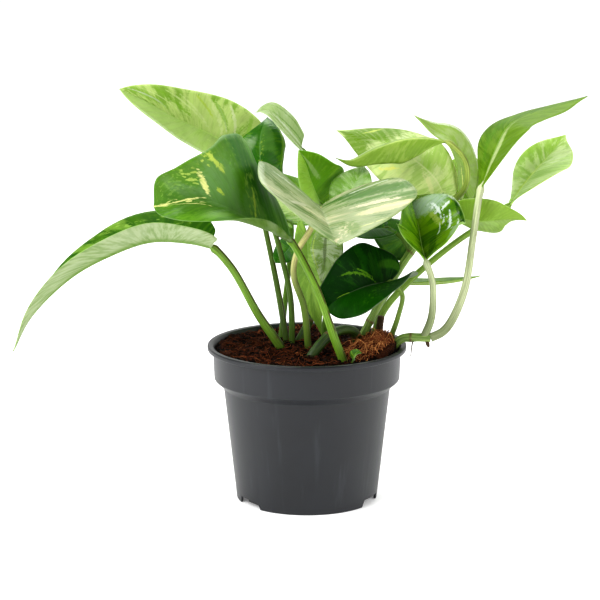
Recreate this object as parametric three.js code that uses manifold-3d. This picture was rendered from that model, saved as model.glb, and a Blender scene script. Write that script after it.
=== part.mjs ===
// A pothos (devil's ivy) growing in a round nursery pot.
// Millimetres, +Z up, origin on the ground at the middle of the pot, front of the plant towards -Y.
//
// Every leaf is one solid: a heart-shaped blade on its own stalk. A blade is laid out flat first, as
// a heart, and then wrapped along its midrib, folded up or down on each side of it and curled at the
// margins. Stalks and vines stand in plain holes in the soil, and the soil fills the pot.

import * as THREE from 'three';
import { mergeVertices } from 'three/addons/utils/BufferGeometryUtils.js';
import Module from 'manifold-3d';

const wasm = await Module();
wasm.setup();

// ---- Driving dimensions -------------------------------------------------------------------------

const GAP = 0.3; // between the pot and its soil
const CLEARANCE = 0.6; // around a stalk or a vine where it stands in a hole

const POT = {
  height: 95, // standing height
  rimRadius: 60, // outside of the lip
  lip: 3, // height of the lip
  bandRadius: 56.7, // upright band under the lip
  bandDraft: 0.7, // how much slimmer the band is at its foot
  bandFoot: 74.5, // height of the band's lower edge
  shoulder: 69.5, // height where the tapered body starts
  bodyTop: 50.4, // body radius at the shoulder
  bodyFoot: 42.6, // body radius on the ground
  wall: 1.5,
  edge: 0.8, // how far each edge is rounded off
  floor: 4.5, // the floor stands this high on three feet
  floorThickness: 1.6,
  sides: 56,
};
// Notches cut the ring under the floor into feet, at angles in degrees from the front.
const FEET = { count: 3, firstNotch: 65, topWidth: 17, footWidth: 22, notchDepth: 12 };
const SLOT = { width: 11, depth: 7 }; // the drain slot inside each notch

const SOIL = {
  level: 92,
  ease: 0.5, // how much slimmer the soil is than the inside of the pot
  mound: { height: 3, reach: 30 },
  ripple: { height: 0.7, turnX: 0.33, turnY: 0.29, start: 1 },
  sides: 44,
  rings: [12, 23, 34, 44],
};
const HEAP = { at: [43, -11], reach: [13, 17], height: 9.5 };
const BURIED = 10; // how far a stalk reaches below the soil
const HOLE_END = { depth: 2, extra: 0.25, sides: 12 }; // the widened ends of a hole in the soil
const INTO_BLADE = 0.25; // a stalk's end, as a share of the way to the midrib's next point

const BLADE = { thickness: 0.8, ribThickness: 1.5 };
const GRID = { large: [10, 3], small: [8, 2], smallUpTo: 16 }; // rows and columns in each half of a blade
const STALK = { radius: 1.8, sides: 6, step: 10 };
const VINE = { sides: 8, step: 6 };

// A heart, laid flat, one half of it: how far along the midrib, and how far out from it.
// The first point is the notch where the stalk joins, the widest is the fifth, and the last is the
// drip tip.
const HEART = [
  [0, 0], [-0.1, 0.26], [-0.09, 0.6], [0.08, 0.9], [0.3, 1],
  [0.55, 0.8], [0.78, 0.42], [0.92, 0.12], [1, 0],
];
const WIDEST = 4;
// The same points on a leaf whose drip tip is turned away, so that it ends round, and on a leaf that
// starts as a wedge instead of two lobes.
const ROUND_END = { 5: [0.58, 0.9], 6: [0.83, 0.66], 7: [0.97, 0.34] };
const WEDGE_BASE = { 1: [0.07, 0.16], 2: [0.16, 0.42], 3: [0.27, 0.76], 4: [0.42, 1] };

// ---- Colours ------------------------------------------------------------------------------------

const finish = (color, roughness) => new THREE.MeshStandardMaterial({ color, roughness, metalness: 0 });
const FINISH = {
  pot: finish(0x3b3e43, 0.5),
  soil: finish(0x3a1c10, 1),
  vine: finish(0x6f9a3c, 0.5),
  bark: finish(0x2e2418, 0.9),
  dark: finish(0x1f5a18, 0.35),
  mid: finish(0x4f8f2c, 0.4),
  light: finish(0x86b44e, 0.45),
  cream: finish(0xb9c98e, 0.45),
};

// ---- Solids -------------------------------------------------------------------------------------

const vec = (point) => new THREE.Vector3(...point);
const radians = THREE.MathUtils.degToRad;
const mix = THREE.MathUtils.lerp;
const ease = (t) => t * t * (3 - 2 * t);

function solid(geometry) {
  geometry.deleteAttribute('normal');
  geometry.deleteAttribute('uv');
  const merged = mergeVertices(geometry, 1e-4);
  const vertProperties = new Float32Array(merged.attributes.position.array);
  const triVerts = new Uint32Array(merged.index.array);
  return new wasm.Manifold(new wasm.Mesh({ numProp: 3, vertProperties, triVerts }));
}

function geometryOf(body) {
  const mesh = body.getMesh();
  const geometry = new THREE.BufferGeometry();
  geometry.setAttribute('position', new THREE.BufferAttribute(mesh.vertProperties, 3));
  geometry.setIndex(new THREE.BufferAttribute(mesh.triVerts, 1));
  geometry.computeVertexNormals();
  return geometry;
}

const smooth = (points) => new THREE.CatmullRomCurve3(points.map(vec), false, 'centripetal');

// A round rod along a smooth path.
function rod(points, radius, { sides, step } = STALK) {
  const path = smooth(points);
  const corners = [];
  for (let side = 0; side < sides; side += 1) {
    const angle = (2 * Math.PI * side) / sides;
    corners.push(new THREE.Vector2(radius * Math.cos(angle), radius * Math.sin(angle)));
  }
  const section = new THREE.Shape(corners);
  const steps = Math.max(2, Math.round(path.getLength() / step));
  return solid(new THREE.ExtrudeGeometry(section, { steps, extrudePath: path, bevelEnabled: false }));
}

// ---- Leaves -------------------------------------------------------------------------------------

// The midrib with a frame that turns as little as it can, plus the leaf's own twist.
function frameAlong(rib, face, twist, samples = 48) {
  const path = smooth(rib);
  const length = path.getLength();
  const frames = [];
  const up = vec(face);
  for (let i = 0; i <= samples; i += 1) {
    const forward = path.getTangentAt(i / samples);
    up.addScaledVector(forward, -up.dot(forward)).normalize();
    const turned = up.clone().applyAxisAngle(forward, radians(twist) * ease(i / samples));
    frames.push({ at: path.getPointAt(i / samples), forward, up: turned });
  }
  return (s) => {
    const place = THREE.MathUtils.clamp(s, 0, 1) * samples;
    const low = frames[Math.floor(place)];
    const high = frames[Math.ceil(place)];
    const part = place - Math.floor(place);
    const forward = low.forward.clone().lerp(high.forward, part).normalize();
    const upward = low.up.clone().lerp(high.up, part).normalize();
    const at = low.at.clone().lerp(high.at, part);
    if (s < 0) at.addScaledVector(forward, s * length);
    return { at, forward, up: upward, right: forward.clone().cross(upward) };
  };
}

// The margin of one half, laid flat. It is the half's own outline, or else the heart, where blunt
// rounds the end, wedge narrows the base, and lobe sets how far the lobes reach back behind the notch.
function margin({ outline, blunt = 0, wedge = 0, lobe = 1 }) {
  if (outline) return new THREE.CatmullRomCurve3(outline.map(([s, h]) => new THREE.Vector3(s, h, 0)));
  const points = HEART.map(([s, h], i) => {
    const [roundS, roundH] = ROUND_END[i] ?? [s, h];
    const [wedgeS, wedgeH] = WEDGE_BASE[i] ?? [s, h];
    const rounding = i > WIDEST ? blunt : 0;
    const wedging = i > WIDEST ? 0 : wedge;
    const along = mix(mix(s < 0 ? s * lobe : s, roundS, rounding), wedgeS, wedging);
    const outward = mix(mix(h, roundH, rounding), wedgeH, wedging);
    return new THREE.Vector3(along, outward, 0);
  });
  return new THREE.CatmullRomCurve3(points);
}

// A leaf may have another width or outline on its left half.
const halfOf = (leaf, side) => (side > 0 ? leaf : { ...leaf, ...leaf.leftHalf });

// A point of the blade, from its place on the flat heart: s along the midrib, reach out from it.
function bladePoint(frame, leaf, side, s, reach) {
  const [foldAtNotch, foldAtTip, curlAtMargin] = side > 0 ? leaf.right : leaf.left;
  const fold = radians(mix(foldAtNotch, foldAtTip, THREE.MathUtils.clamp(s, 0, 1)));
  const curl = radians(curlAtMargin) || 1e-6;
  const span = halfOf(leaf, side).width;
  const bend = fold + curl * reach;
  const across = (span / curl) * (Math.sin(bend) - Math.sin(fold));
  const lift = (span / curl) * (Math.cos(fold) - Math.cos(bend));
  const { at, up, right } = frame(s);
  return at.addScaledVector(right, side * across).addScaledVector(up, lift);
}

function blade(leaf) {
  const [rows, columns] = leaf.width > GRID.smallUpTo ? GRID.large : GRID.small;
  const frame = frameAlong(leaf.rib, leaf.face, leaf.twist ?? 0);
  const edgeCurves = { 1: margin(halfOf(leaf, 1)), '-1': margin(halfOf(leaf, -1)) };
  const points = [];
  const ids = new Map();
  const vertex = (row, column, side) => {
    const middle = column === 0 || row === 0 || row === rows;
    const key = middle ? `${row}` : `${row}/${column}/${side}`;
    if (!ids.has(key)) {
      const t = row / rows;
      const edge = edgeCurves[side].getPoint(t);
      const outward = middle ? 0 : column / columns;
      const s = mix(t * t, edge.x, outward);
      ids.set(key, points.length);
      points.push(bladePoint(frame, leaf, side, s, edge.y * outward));
    }
    return ids.get(key);
  };
  const triangles = [];
  const add = (a, b, c) => {
    if (a !== b && b !== c && a !== c) triangles.push([a, b, c]);
  };
  for (const side of [1, -1]) {
    for (let row = 0; row < rows; row += 1) {
      for (let column = 0; column < columns; column += 1) {
        const inner = vertex(row, column, side);
        const outer = vertex(row, column + 1, side);
        const innerNext = vertex(row + 1, column, side);
        const outerNext = vertex(row + 1, column + 1, side);
        if (side > 0) {
          add(inner, outer, innerNext);
          add(outer, outerNext, innerNext);
        } else {
          add(inner, innerNext, outer);
          add(outer, innerNext, outerNext);
        }
      }
    }
  }
  const rim = [];
  for (let row = 0; row < rows; row += 1) rim.push(vertex(row, columns, 1));
  for (let row = rows; row > 0; row -= 1) rim.push(vertex(row, columns, -1));
  return thicken(points, triangles, rim, (id) => ribShare(id, ids, rows));
}

// The blade is thickest on its midrib.
function ribShare(id, ids, rows) {
  for (let row = 1; row < rows; row += 1) if (ids.get(`${row}`) === id) return 1 - row / rows;
  return 0;
}

// Two faces split alike, closed along the margin.
function thicken(points, triangles, rim, share) {
  const normals = points.map(() => new THREE.Vector3());
  for (const [a, b, c] of triangles) {
    const ab = points[b].clone().sub(points[a]);
    const normal = ab.cross(points[c].clone().sub(points[a]));
    for (const id of [a, b, c]) normals[id].add(normal);
  }
  const count = points.length;
  const positions = [];
  for (const direction of [1, -1]) {
    points.forEach((point, id) => {
      const extra = BLADE.ribThickness - BLADE.thickness;
      const depth = direction > 0 ? BLADE.thickness / 2 : BLADE.thickness / 2 + extra * share(id);
      const moved = point.clone().addScaledVector(normals[id].normalize(), direction * depth);
      positions.push(moved.x, moved.y, moved.z);
    });
  }
  const index = [];
  for (const [a, b, c] of triangles) index.push(a, b, c, a + count, c + count, b + count);
  rim.forEach((a, i) => {
    const b = rim[(i + 1) % rim.length];
    index.push(a, a + count, b, b, a + count, b + count);
  });
  const geometry = new THREE.BufferGeometry();
  geometry.setAttribute('position', new THREE.Float32BufferAttribute(positions, 3));
  geometry.setIndex(index);
  return solid(geometry);
}

// ---- The plant ----------------------------------------------------------------------------------

// Vines: the stems that carry several leaves each. They rise from the soil.
const VINES = {
  vine_centre: { radius: 2.6, path: [[-7, 6, 90], [1, 10, 106], [7, 14, 128], [11, 14, 152], [12, 12, 168]] },
  vine_right_back: {
    radius: 2.4,
    path: [[30, 4, 90], [40, 4, 112], [53, 8, 135], [67, 16, 154], [82, 26, 168], [88, 34, 176]],
  },
  vine_over_rim: {
    radius: 2.6,
    path: [[49, -5, 88], [51.5, -5.5, 94], [57, -6, 99.5], [65, -7, 100.5], [74, -8, 100.5]],
  },
  vine_arch: {
    radius: 3,
    path: [[1, -27, 90], [7, -23, 99], [15, -17, 105], [23, -10, 106], [29, -4, 102], [32, -1, 84]],
  },
};
const AERIAL_ROOT = { radius: 0.5, path: [[64, -7, 99], [63, -10, 97], [62, -13, 90]] };
const CUT_STUB = { radius: 2.4, path: [[45, 8, 90], [44, 9, 102], [45, 9, 110]] };

// Leaves: rib runs from the notch at the stalk to the drip tip, and face is where the upper side looks
// at the notch. left and right give each half's lift from the midrib at the notch and at the tip, and
// its further curl at the margin, in degrees. stalk runs from the soil, or from the vine named in on.
const LEAVES = [
  {
    name: 'leaf_left_low', tone: 'light', width: 28, face: [0.2, 0, 1], twist: 20, lobe: 0,
    rib: [
      [-56, -24, 159], [-69, -25, 162], [-92, -27, 163], [-115, -33, 156], [-138, -40, 144],
      [-161, -48, 122], [-171, -53, 103],
    ],
    left: [31, 25, 0], right: [30, 17, 9],
    stalk: [[-14, -4, 90], [-29, -10, 115], [-45, -19, 146]], radius: 2.6,
  },
  {
    name: 'leaf_left_high', tone: 'light', width: 26, face: [0.6, -1, 0.4], twist: -9, blunt: 0.4, lobe: 0.4,
    rib: [[-36, 40, 202], [-53, 35, 214], [-67, 31, 222], [-81, 23, 230], [-95, 12, 240], [-111, 3, 249]],
    left: [36, 36, 16], right: [36, 36, 16],
    stalk: [[-12, 10, 90], [-16, 14, 116], [-24, 24, 155]],
  },
  {
    name: 'leaf_front_left', tone: 'dark', width: 50, face: [1, -0.2, 0.7],
    outline: [
      [0, 0], [0, 0.35], [0.08, 0.7], [0.18, 0.92], [0.33, 0.97], [0.49, 1.01], [0.61, 0.86],
      [0.73, 0.56], [0.86, 0.4], [0.97, 0.32], [1, 0],
    ],
    leftHalf: {
      width: 28,
      outline: [
        [0, 0], [0.04, 0.12], [0.1, 0.24], [0.2, 0.4], [0.34, 0.68], [0.5, 0.9], [0.65, 0.82],
        [0.8, 0.55], [0.91, 0.34], [0.98, 0.16], [1, 0],
      ],
    },
    rib: [
      [-9, -30, 163], [-21, -51, 174], [-35, -69, 185], [-49, -84, 195], [-60, -94, 199],
      [-85, -108, 198],
    ],
    left: [40, -40, 95], right: [13, 50, -22],
    stalk: [[22, -36, 90], [16, -37, 107], [12, -38, 119], [5, -37, 138]], radius: 2.4,
  },
  {
    name: 'leaf_behind_left', tone: 'dark', width: 16, face: [0.1, -0.9, 0.2],
    outline: [
      [0, 0], [-0.1, 0.26], [-0.05, 0.6], [0.08, 0.88], [0.22, 0.95], [0.42, 1.11], [0.6, 1.1],
      [0.74, 0.98], [0.89, 0.66], [0.95, 0.33], [1, 0],
    ],
    leftHalf: {
      outline: [
        [0, 0], [-0.1, 0.26], [-0.05, 0.6], [0.08, 0.85], [0.2, 0.95], [0.32, 0.93], [0.44, 0.88],
        [0.56, 0.74], [0.66, 0.42], [0.81, 0.12], [1, 0],
      ],
    },
    rib: [[-27, 8, 190], [-28, 10, 205], [-28, 14, 217], [-26, 22, 225], [-24, 32, 228]],
    left: [-5, -5, -35], right: [-5, -5, -35],
    stalk: [[-9, 1, 90], [-10, 4, 123], [-16, 6, 150]],
  },
  {
    name: 'leaf_front_centre', tone: 'cream', width: 56, face: [0, -0.1, 1],
    outline: [
      [0, 0], [0.04, 0.26], [-0.07, 0.43], [-0.08, 0.63], [0.09, 0.83], [0.38, 0.95], [0.59, 0.96],
      [0.75, 0.88], [0.89, 0.68], [0.96, 0.4], [1, 0],
    ],
    leftHalf: {
      outline: [
        [0, 0], [-0.11, 0.2], [-0.14, 0.39], [-0.13, 0.6], [-0.05, 0.8], [0.08, 0.95], [0.24, 0.99],
        [0.4, 0.94], [0.55, 0.8], [0.68, 0.61], [0.81, 0.38], [0.92, 0.18], [1, 0],
      ],
    },
    rib: [[8, -24, 183], [10, -41, 181], [13, -69, 178], [17, -100, 175]],
    left: [21, 11, -6], right: [39, 34, 8],
    stalk: [[1, -6, 90], [-2, -9, 120], [-8, -13, 140], [-6, -16, 154], [1, -20, 167]], radius: 2,
  },
  {
    name: 'leaf_centre_tall', tone: 'mid', width: 22, face: [1, -0.4, 0], twist: -36, blunt: 0.3, lobe: -0.1,
    rib: [[9, 14, 177], [5, 6, 187], [2, 0, 196], [-1, -4, 206], [-5, -7, 214]],
    left: [27, 27, 4], right: [27, 27, 4],
    stalk: [[12, 13, 164], [13, 17, 172]], on: 'vine_centre',
  },
  {
    name: 'leaf_centre_pale', tone: 'cream', width: 11, face: [1, -0.3, 0.5], twist: -18, blunt: 0.9, lobe: -0.5,
    rib: [[-3, 20, 210], [-10, 11, 220], [-17, 8, 229], [-23, 8, 235], [-30, 13, 234]],
    left: [20, 20, 5], right: [20, 20, 5],
    stalk: [[11, 14, 152], [14, 22, 170], [10, 23, 190]], on: 'vine_centre',
  },
  {
    name: 'leaf_centre_left', tone: 'mid', width: 10, face: [0.6, -0.4, 0.7],
    rib: [[3, 20, 179], [-3, 22, 185], [-10, 24, 191], [-15, 26, 195]],
    left: [5, 5, 0], right: [5, 5, 0],
    stalk: [[9, 14, 140], [8, 20, 160]], on: 'vine_centre', radius: 1.1,
  },
  {
    name: 'leaf_centre_dark', tone: 'dark', width: 13, face: [-0.3, -0.9, 0.3],
    rib: [[23, -2, 180], [26, 0, 188], [31, 6, 197], [34, 14, 202]],
    left: [5, 5, 0], right: [5, 5, 0],
    stalk: [[12, 12, 166], [18, 2, 172]], on: 'vine_centre', radius: 1.2,
  },
  {
    name: 'leaf_right_pale', tone: 'light', width: 27, face: [0.7, -1, -0.2], twist: 13, lobe: 0.6,
    rib: [[84, 32, 179], [78, 25, 191], [68, 23, 201], [56, 29, 208], [38, 37, 214], [18, 52, 217]],
    left: [-32, -32, -8], right: [-14, -14, -34],
    stalk: [[80, 25, 166], [84, 30, 172]], on: 'vine_right_back',
  },
  {
    name: 'leaf_right_young', tone: 'light', width: 14, face: [0.3, -0.6, 0.8], wedge: 1,
    rib: [[84, 12, 216], [70, 10, 218], [56, 8, 217], [40, 5, 212], [26, 2, 206], [17, 0, 208]],
    left: [-40, -40, -40], right: [-30, -30, -40],
    stalk: [[87, 32, 174], [96, 22, 188], [95, 16, 204]], on: 'vine_right_back',
  },
  {
    name: 'leaf_right_tall', tone: 'mid', width: 25, face: [-1, -1, 0.4], wedge: 0.8, twist: -17,
    rib: [
      [103, -4, 190], [110, 1, 209], [120, 10, 226], [133, 15, 232], [149, 21, 236], [169, 30, 241],
    ],
    left: [-27, -2, 0], right: [36, -21, 0],
    stalk: [[74, -8, 100.5], [81, -8, 104], [86, -8, 110], [94, -8, 130], [99, -6, 163]],
    radius: 2.4, on: 'vine_over_rim',
  },
  {
    name: 'leaf_right_far', tone: 'light', width: 32, face: [-1, -0.5, 1], wedge: 0.6, twist: 16,
    rib: [[123, 24, 176], [130, 28, 185], [139, 35, 195], [150, 44, 205], [159, 54, 214]],
    left: [-19, 33, -50], right: [27, -10, -4],
    stalk: [[40, 17, 90], [46, 18, 110], [63, 20, 130], [88, 27, 150], [107, 29, 163]], radius: 2.1,
  },
  {
    name: 'leaf_right_low', tone: 'mid', width: 15, face: [-0.6, -1, -0.8],
    outline: [
      [0, 0], [-0.08, 0.25], [-0.06, 0.5], [0, 0.75], [0.1, 0.92], [0.2, 1], [0.36, 1.12],
      [0.49, 0.98], [0.64, 0.59], [0.78, 0.25], [1, 0],
    ],
    leftHalf: {
      outline: [
        [0, 0], [-0.1, 0.3], [-0.05, 0.65], [0.13, 0.9], [0.3, 0.96], [0.49, 0.95], [0.63, 0.79],
        [0.76, 0.5], [0.87, 0.27], [0.95, 0.12], [1, 0],
      ],
    },
    rib: [[91, 14, 169], [104, 6, 169], [115, 0, 171], [124, -3, 172], [131, -2, 171]],
    left: [-31, -31, 20], right: [-31, -31, 20],
    stalk: [[67, 16, 154], [78, 16, 163]], on: 'vine_right_back',
  },
  {
    name: 'leaf_right_glossy', tone: 'dark', width: 32, face: [0.1, -0.7, 1], twist: 30, lobe: 0, blunt: 0.2,
    rib: [[70, -20, 150], [68, -10, 157], [66, -2, 168], [63, 9, 177], [63, 25, 181]],
    left: [56, 56, -11], right: [56, 56, -11],
    stalk: [[70, -7.5, 100.5], [74, -10, 112], [75, -14, 125], [74, -18, 138]],
    radius: 2.2, on: 'vine_over_rim',
  },
  {
    name: 'leaf_low_dark', tone: 'dark', width: 26, face: [0.5, -0.6, 1], twist: -31, blunt: 0.6, lobe: 2,
    rib: [[50, -4, 134], [37, -15, 134], [25, -22, 131], [15, -26, 126], [11, -23, 121]],
    left: [56, 16, 18], right: [26, 16, -4],
    stalk: [[49, 4, 92], [55, 1, 112], [57, -2, 126]], radius: 1.7,
  },
  {
    name: 'leaf_hanging_green', tone: 'mid', width: 9, face: [-0.3, -0.9, 0.2],
    rib: [[0, 7, 162], [1, 4, 144], [4, 1, 121], [9, 3, 99]],
    left: [5, 5, 0], right: [5, 5, 0],
    stalk: [[6, 13, 126], [0, 12, 145], [-1, 9, 158]], on: 'vine_centre', radius: 1.2,
  },
  {
    name: 'leaf_hanging_grey', tone: 'light', width: 10, face: [-0.2, -1, 0.1],
    rib: [[12, -1, 162], [12, -4, 153], [11, -5, 143], [8, -4, 133]],
    left: [5, 5, 0], right: [5, 5, 0],
    stalk: [[12, 14, 158], [13, 5, 166]], on: 'vine_centre', radius: 1.2,
  },
  {
    name: 'leaf_small_left', tone: 'dark', width: 8, face: [-0.4, -0.9, 0.3], blunt: 0.5,
    rib: [[-8, 20, 153], [-13, 20, 147], [-16, 18, 144], [-19, 14, 142]],
    left: [5, 5, 0], right: [5, 5, 0],
    stalk: [[8, 13, 136], [0, 18, 148]], on: 'vine_centre', radius: 1.1,
  },
  {
    name: 'leaf_right_corner', tone: 'mid', width: 16, face: [0.9, -0.5, 0.1],
    rib: [[97, 51, 181], [96, 54, 196], [90, 56, 210], [77, 56, 217], [66, 54, 226]],
    left: [10, 10, 0], right: [10, 10, 0],
    stalk: [[86, 34, 173], [89, 45, 174]], on: 'vine_right_back', radius: 1.2,
  },
  {
    name: 'leaf_right_behind', tone: 'light', width: 16, face: [-0.5, -0.8, 0.4],
    rib: [[94, 68, 173], [97, 72, 184], [100, 76, 195], [103, 82, 200]],
    left: [5, 5, 0], right: [5, 5, 0],
    stalk: [[83, 28, 169], [88, 50, 167]], on: 'vine_right_back', radius: 1.2,
  },
  {
    name: 'leaf_inner_right', tone: 'dark', width: 16, face: [0.2, -0.7, 0.7], blunt: 0.5,
    rib: [[64, 27, 149], [57, 29, 153], [51, 33, 158], [45, 41, 164]],
    left: [5, 5, 0], right: [5, 5, 0],
    stalk: [[58, 11, 142], [62, 21, 146]], on: 'vine_right_back', radius: 1.2,
  },
  {
    name: 'leaf_under_cream', tone: 'dark', width: 11, face: [0.3, -0.3, 0.9],
    rib: [[48, 18, 163], [38, 10, 163], [30, 2, 162], [23, -6, 163]],
    left: [5, 5, 0], right: [5, 5, 0],
    stalk: [[62, 13.5, 149], [57, 15, 157]], on: 'vine_right_back', radius: 1.2,
  },
  {
    name: 'leaf_edge_on', tone: 'mid', width: 13, face: [0, 0.1, 1],
    rib: [[62, 34, 125], [76, 33, 125], [92, 31, 127], [106, 28, 131]],
    left: [10, 10, 0], right: [10, 10, 0],
    stalk: [[40, 29, 90], [46, 31, 112], [54, 33, 122]], radius: 1.2,
  },
  {
    name: 'leaf_back_left', tone: 'mid', width: 24, face: [0, 0, 1],
    rib: [[-10, 46, 160], [-26, 65, 167], [-42, 87, 165], [-57, 110, 152]],
    left: [15, 15, 10], right: [15, 15, 10],
    stalk: [[-16, 22, 90], [-13, 28, 118], [-10, 37, 146]],
  },
  {
    name: 'leaf_back_centre', tone: 'light', width: 24, face: [0, 0, 1],
    rib: [[24, 42, 160], [34, 63, 168], [44, 86, 166], [50, 110, 154]],
    left: [15, 15, 10], right: [15, 15, 10],
    stalk: [[10, 30, 90], [14, 34, 120], [20, 38, 146]],
  },
  {
    name: 'leaf_back_right', tone: 'dark', width: 18, face: [0, 0, 1],
    rib: [[84, 45, 158], [97, 66, 161], [113, 94, 152]],
    left: [15, 15, 10], right: [15, 15, 10],
    stalk: [[76, 22, 162], [80, 35, 158]], on: 'vine_right_back', radius: 1.2,
  },
  {
    name: 'leaf_sprout', tone: 'light', width: 3.5, face: [-0.3, -0.6, 0.7], lobe: 0,
    rib: [[27, -40, 95], [27.5, -42, 98], [29.5, -43, 100], [32, -43, 99.5]],
    left: [20, 20, 0], right: [20, 20, 0],
    stalk: [[26, -39, 91]], radius: 1,
  },
];

// A path that starts at the soil is carried on down into it, a little against its lean.
function rooted(path) {
  const [foot, next] = path;
  const against = 0.15;
  return [[mix(foot[0], next[0], -against), mix(foot[1], next[1], -against), foot[2] - BURIED], ...path];
}

// The hole that a rod leaves: clear of it all round, and below each end that stands in the soil.
function holeFor(path, radius, grain = STALK) {
  const reach = radius + CLEARANCE;
  let hole = rod(path, reach, grain);
  for (const [x, y, z] of [path[0], path.at(-1)]) {
    if (z > SOIL.level - HOLE_END.depth) continue;
    const endReach = reach + HOLE_END.extra;
    const end = new THREE.CylinderGeometry(endReach, endReach, HOLE_END.depth, HOLE_END.sides);
    end.rotateX(Math.PI / 2);
    end.translate(x, y, z);
    hole = hole.add(solid(end));
  }
  return hole;
}

// ---- Pot ----------------------------------------------------------------------------------------

// The inside of the pot's wall from the floor up, as radius and height.
function innerWall() {
  const { height, lip, bandRadius, bandDraft, bandFoot, shoulder, bodyTop, bodyFoot, wall, edge } = POT;
  const floorTop = POT.floor + POT.floorThickness;
  return [
    [mix(bodyFoot, bodyTop, floorTop / shoulder) - wall, floorTop],
    [bodyTop - wall, shoulder - edge],
    [bandRadius - bandDraft - wall, bandFoot - edge],
    [bandRadius - wall, height - lip],
  ];
}

function potBody() {
  const { height, rimRadius, lip, bandRadius, bandFoot, shoulder, bodyTop, bodyFoot, wall, floor, edge } = POT;
  const bandAtFoot = bandRadius - POT.bandDraft;
  const profile = [
    [0, floor], [mix(bodyFoot, bodyTop, floor / shoulder) - wall, floor],
    [bodyFoot - wall, 0], [bodyFoot, 0],
    [bodyTop, shoulder], [bandAtFoot - edge, bandFoot - edge], [bandAtFoot, bandFoot],
    [bandRadius, height - lip], [rimRadius, height - lip], [rimRadius, height - edge],
    [rimRadius - edge, height], [rimRadius - lip + edge, height], [rimRadius - lip, height - edge],
    ...innerWall().reverse(), [0, floor + POT.floorThickness],
  ];
  const lathe = new THREE.LatheGeometry(profile.map(([r, z]) => new THREE.Vector2(r, z)), POT.sides);
  lathe.rotateX(Math.PI / 2);
  let pot = solid(lathe);
  for (let foot = 0; foot < FEET.count; foot += 1) {
    const angle = FEET.firstNotch + (360 / FEET.count) * foot;
    pot = pot.subtract(footNotch(angle)).subtract(drainSlot(angle));
  }
  return pot;
}

// A block that is cut out of the ring under the floor, at an angle from the front.
function placedAround(geometry, angle, radius) {
  geometry.translate(0, -radius, 0);
  geometry.rotateZ(radians(angle));
  return solid(geometry);
}

function footNotch(angle) {
  const below = -1;
  const outline = new THREE.Shape();
  outline.moveTo(-FEET.footWidth / 2, below);
  outline.lineTo(FEET.footWidth / 2, below);
  outline.lineTo(FEET.topWidth / 2, POT.floor);
  outline.lineTo(-FEET.topWidth / 2, POT.floor);
  outline.closePath();
  const geometry = new THREE.ExtrudeGeometry(outline, { depth: FEET.notchDepth, bevelEnabled: false });
  geometry.rotateX(Math.PI / 2);
  geometry.translate(0, FEET.notchDepth / 2, 0);
  return placedAround(geometry, angle, POT.bodyFoot);
}

function drainSlot(angle) {
  const geometry = new THREE.BoxGeometry(SLOT.width, SLOT.depth, 4 * POT.floorThickness);
  geometry.translate(0, 0, POT.floor + POT.floorThickness / 2);
  return placedAround(geometry, angle, POT.bodyFoot - SLOT.depth);
}

// ---- Soil ---------------------------------------------------------------------------------------

function soilTop(x, y) {
  const { mound, ripple } = SOIL;
  const swell = mound.height * Math.exp(-(x * x + y * y) / mound.reach ** 2);
  const waves = ripple.height * Math.sin(ripple.turnX * x + ripple.start) * Math.cos(ripple.turnY * y);
  const heapX = (x - HEAP.at[0]) / HEAP.reach[0];
  const heapY = (y - HEAP.at[1]) / HEAP.reach[1];
  return SOIL.level + swell + waves + HEAP.height * Math.exp(-heapX * heapX - heapY * heapY);
}

// The soil follows the inside of the pot up to its level.
function soilBody() {
  const [foot, side, band] = innerWall().map(([r, z]) => [r - SOIL.ease, z + GAP]);
  const profile = [[0, foot[1]], foot, side, band, [band[0], SOIL.level]];
  for (const ring of [...SOIL.rings].reverse()) profile.push([ring, SOIL.level]);
  profile.push([0, SOIL.level]);
  const lathe = new THREE.LatheGeometry(profile.map(([r, z]) => new THREE.Vector2(r, z)), SOIL.sides);
  lathe.rotateX(Math.PI / 2);
  const position = lathe.attributes.position;
  for (let i = 0; i < position.count; i += 1) {
    const x = position.getX(i);
    const y = position.getY(i);
    if (Math.abs(position.getZ(i) - SOIL.level) < 1e-3) position.setZ(i, soilTop(x, y));
  }
  return solid(lathe);
}

// ---- Assembly -----------------------------------------------------------------------------------

const group = new THREE.Group();

function addNode(name, body, finishName) {
  const mesh = new THREE.Mesh(geometryOf(body), FINISH[finishName]);
  mesh.name = name;
  group.add(mesh);
}

// A stalk that starts inside a vine leaves a scrap on the vine's far side once the vine is cut out.
function largest(body) {
  const parts = body.decompose();
  return parts.reduce((best, part) => (part.volume() > best.volume() ? part : best));
}

let soil = soilBody();
const vineSolids = {};
const vineHoles = {};
for (const [name, vine] of Object.entries(VINES)) {
  const path = rooted(vine.path);
  vineSolids[name] = rod(path, vine.radius, VINE);
  vineHoles[name] = holeFor(path, vine.radius, VINE);
  soil = soil.subtract(vineHoles[name]);
}
for (const leaf of LEAVES) {
  const onVine = leaf.on !== undefined;
  const [notch, next] = leaf.rib;
  const end = notch.map((place, axis) => mix(place, next[axis], INTO_BLADE));
  const stalk = [...leaf.stalk, notch, end];
  const path = onVine ? stalk : rooted(stalk);
  const radius = leaf.radius ?? STALK.radius;
  let body = blade(leaf).add(rod(path, radius));
  if (onVine) body = largest(body.subtract(vineHoles[leaf.on]));
  else soil = soil.subtract(holeFor(path, radius));
  addNode(leaf.name, body, leaf.tone);
}
vineSolids.vine_over_rim = vineSolids.vine_over_rim.add(rod(AERIAL_ROOT.path, AERIAL_ROOT.radius));
for (const [name, body] of Object.entries(vineSolids)) addNode(name, body, 'vine');
const stubPath = rooted(CUT_STUB.path);
soil = soil.subtract(holeFor(stubPath, CUT_STUB.radius, VINE));
addNode('cut_stub', rod(stubPath, CUT_STUB.radius, VINE), 'bark');
addNode('soil', soil, 'soil');
addNode('pot', potBody(), 'pot');

export default group;
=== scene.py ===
import math
import random

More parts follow.
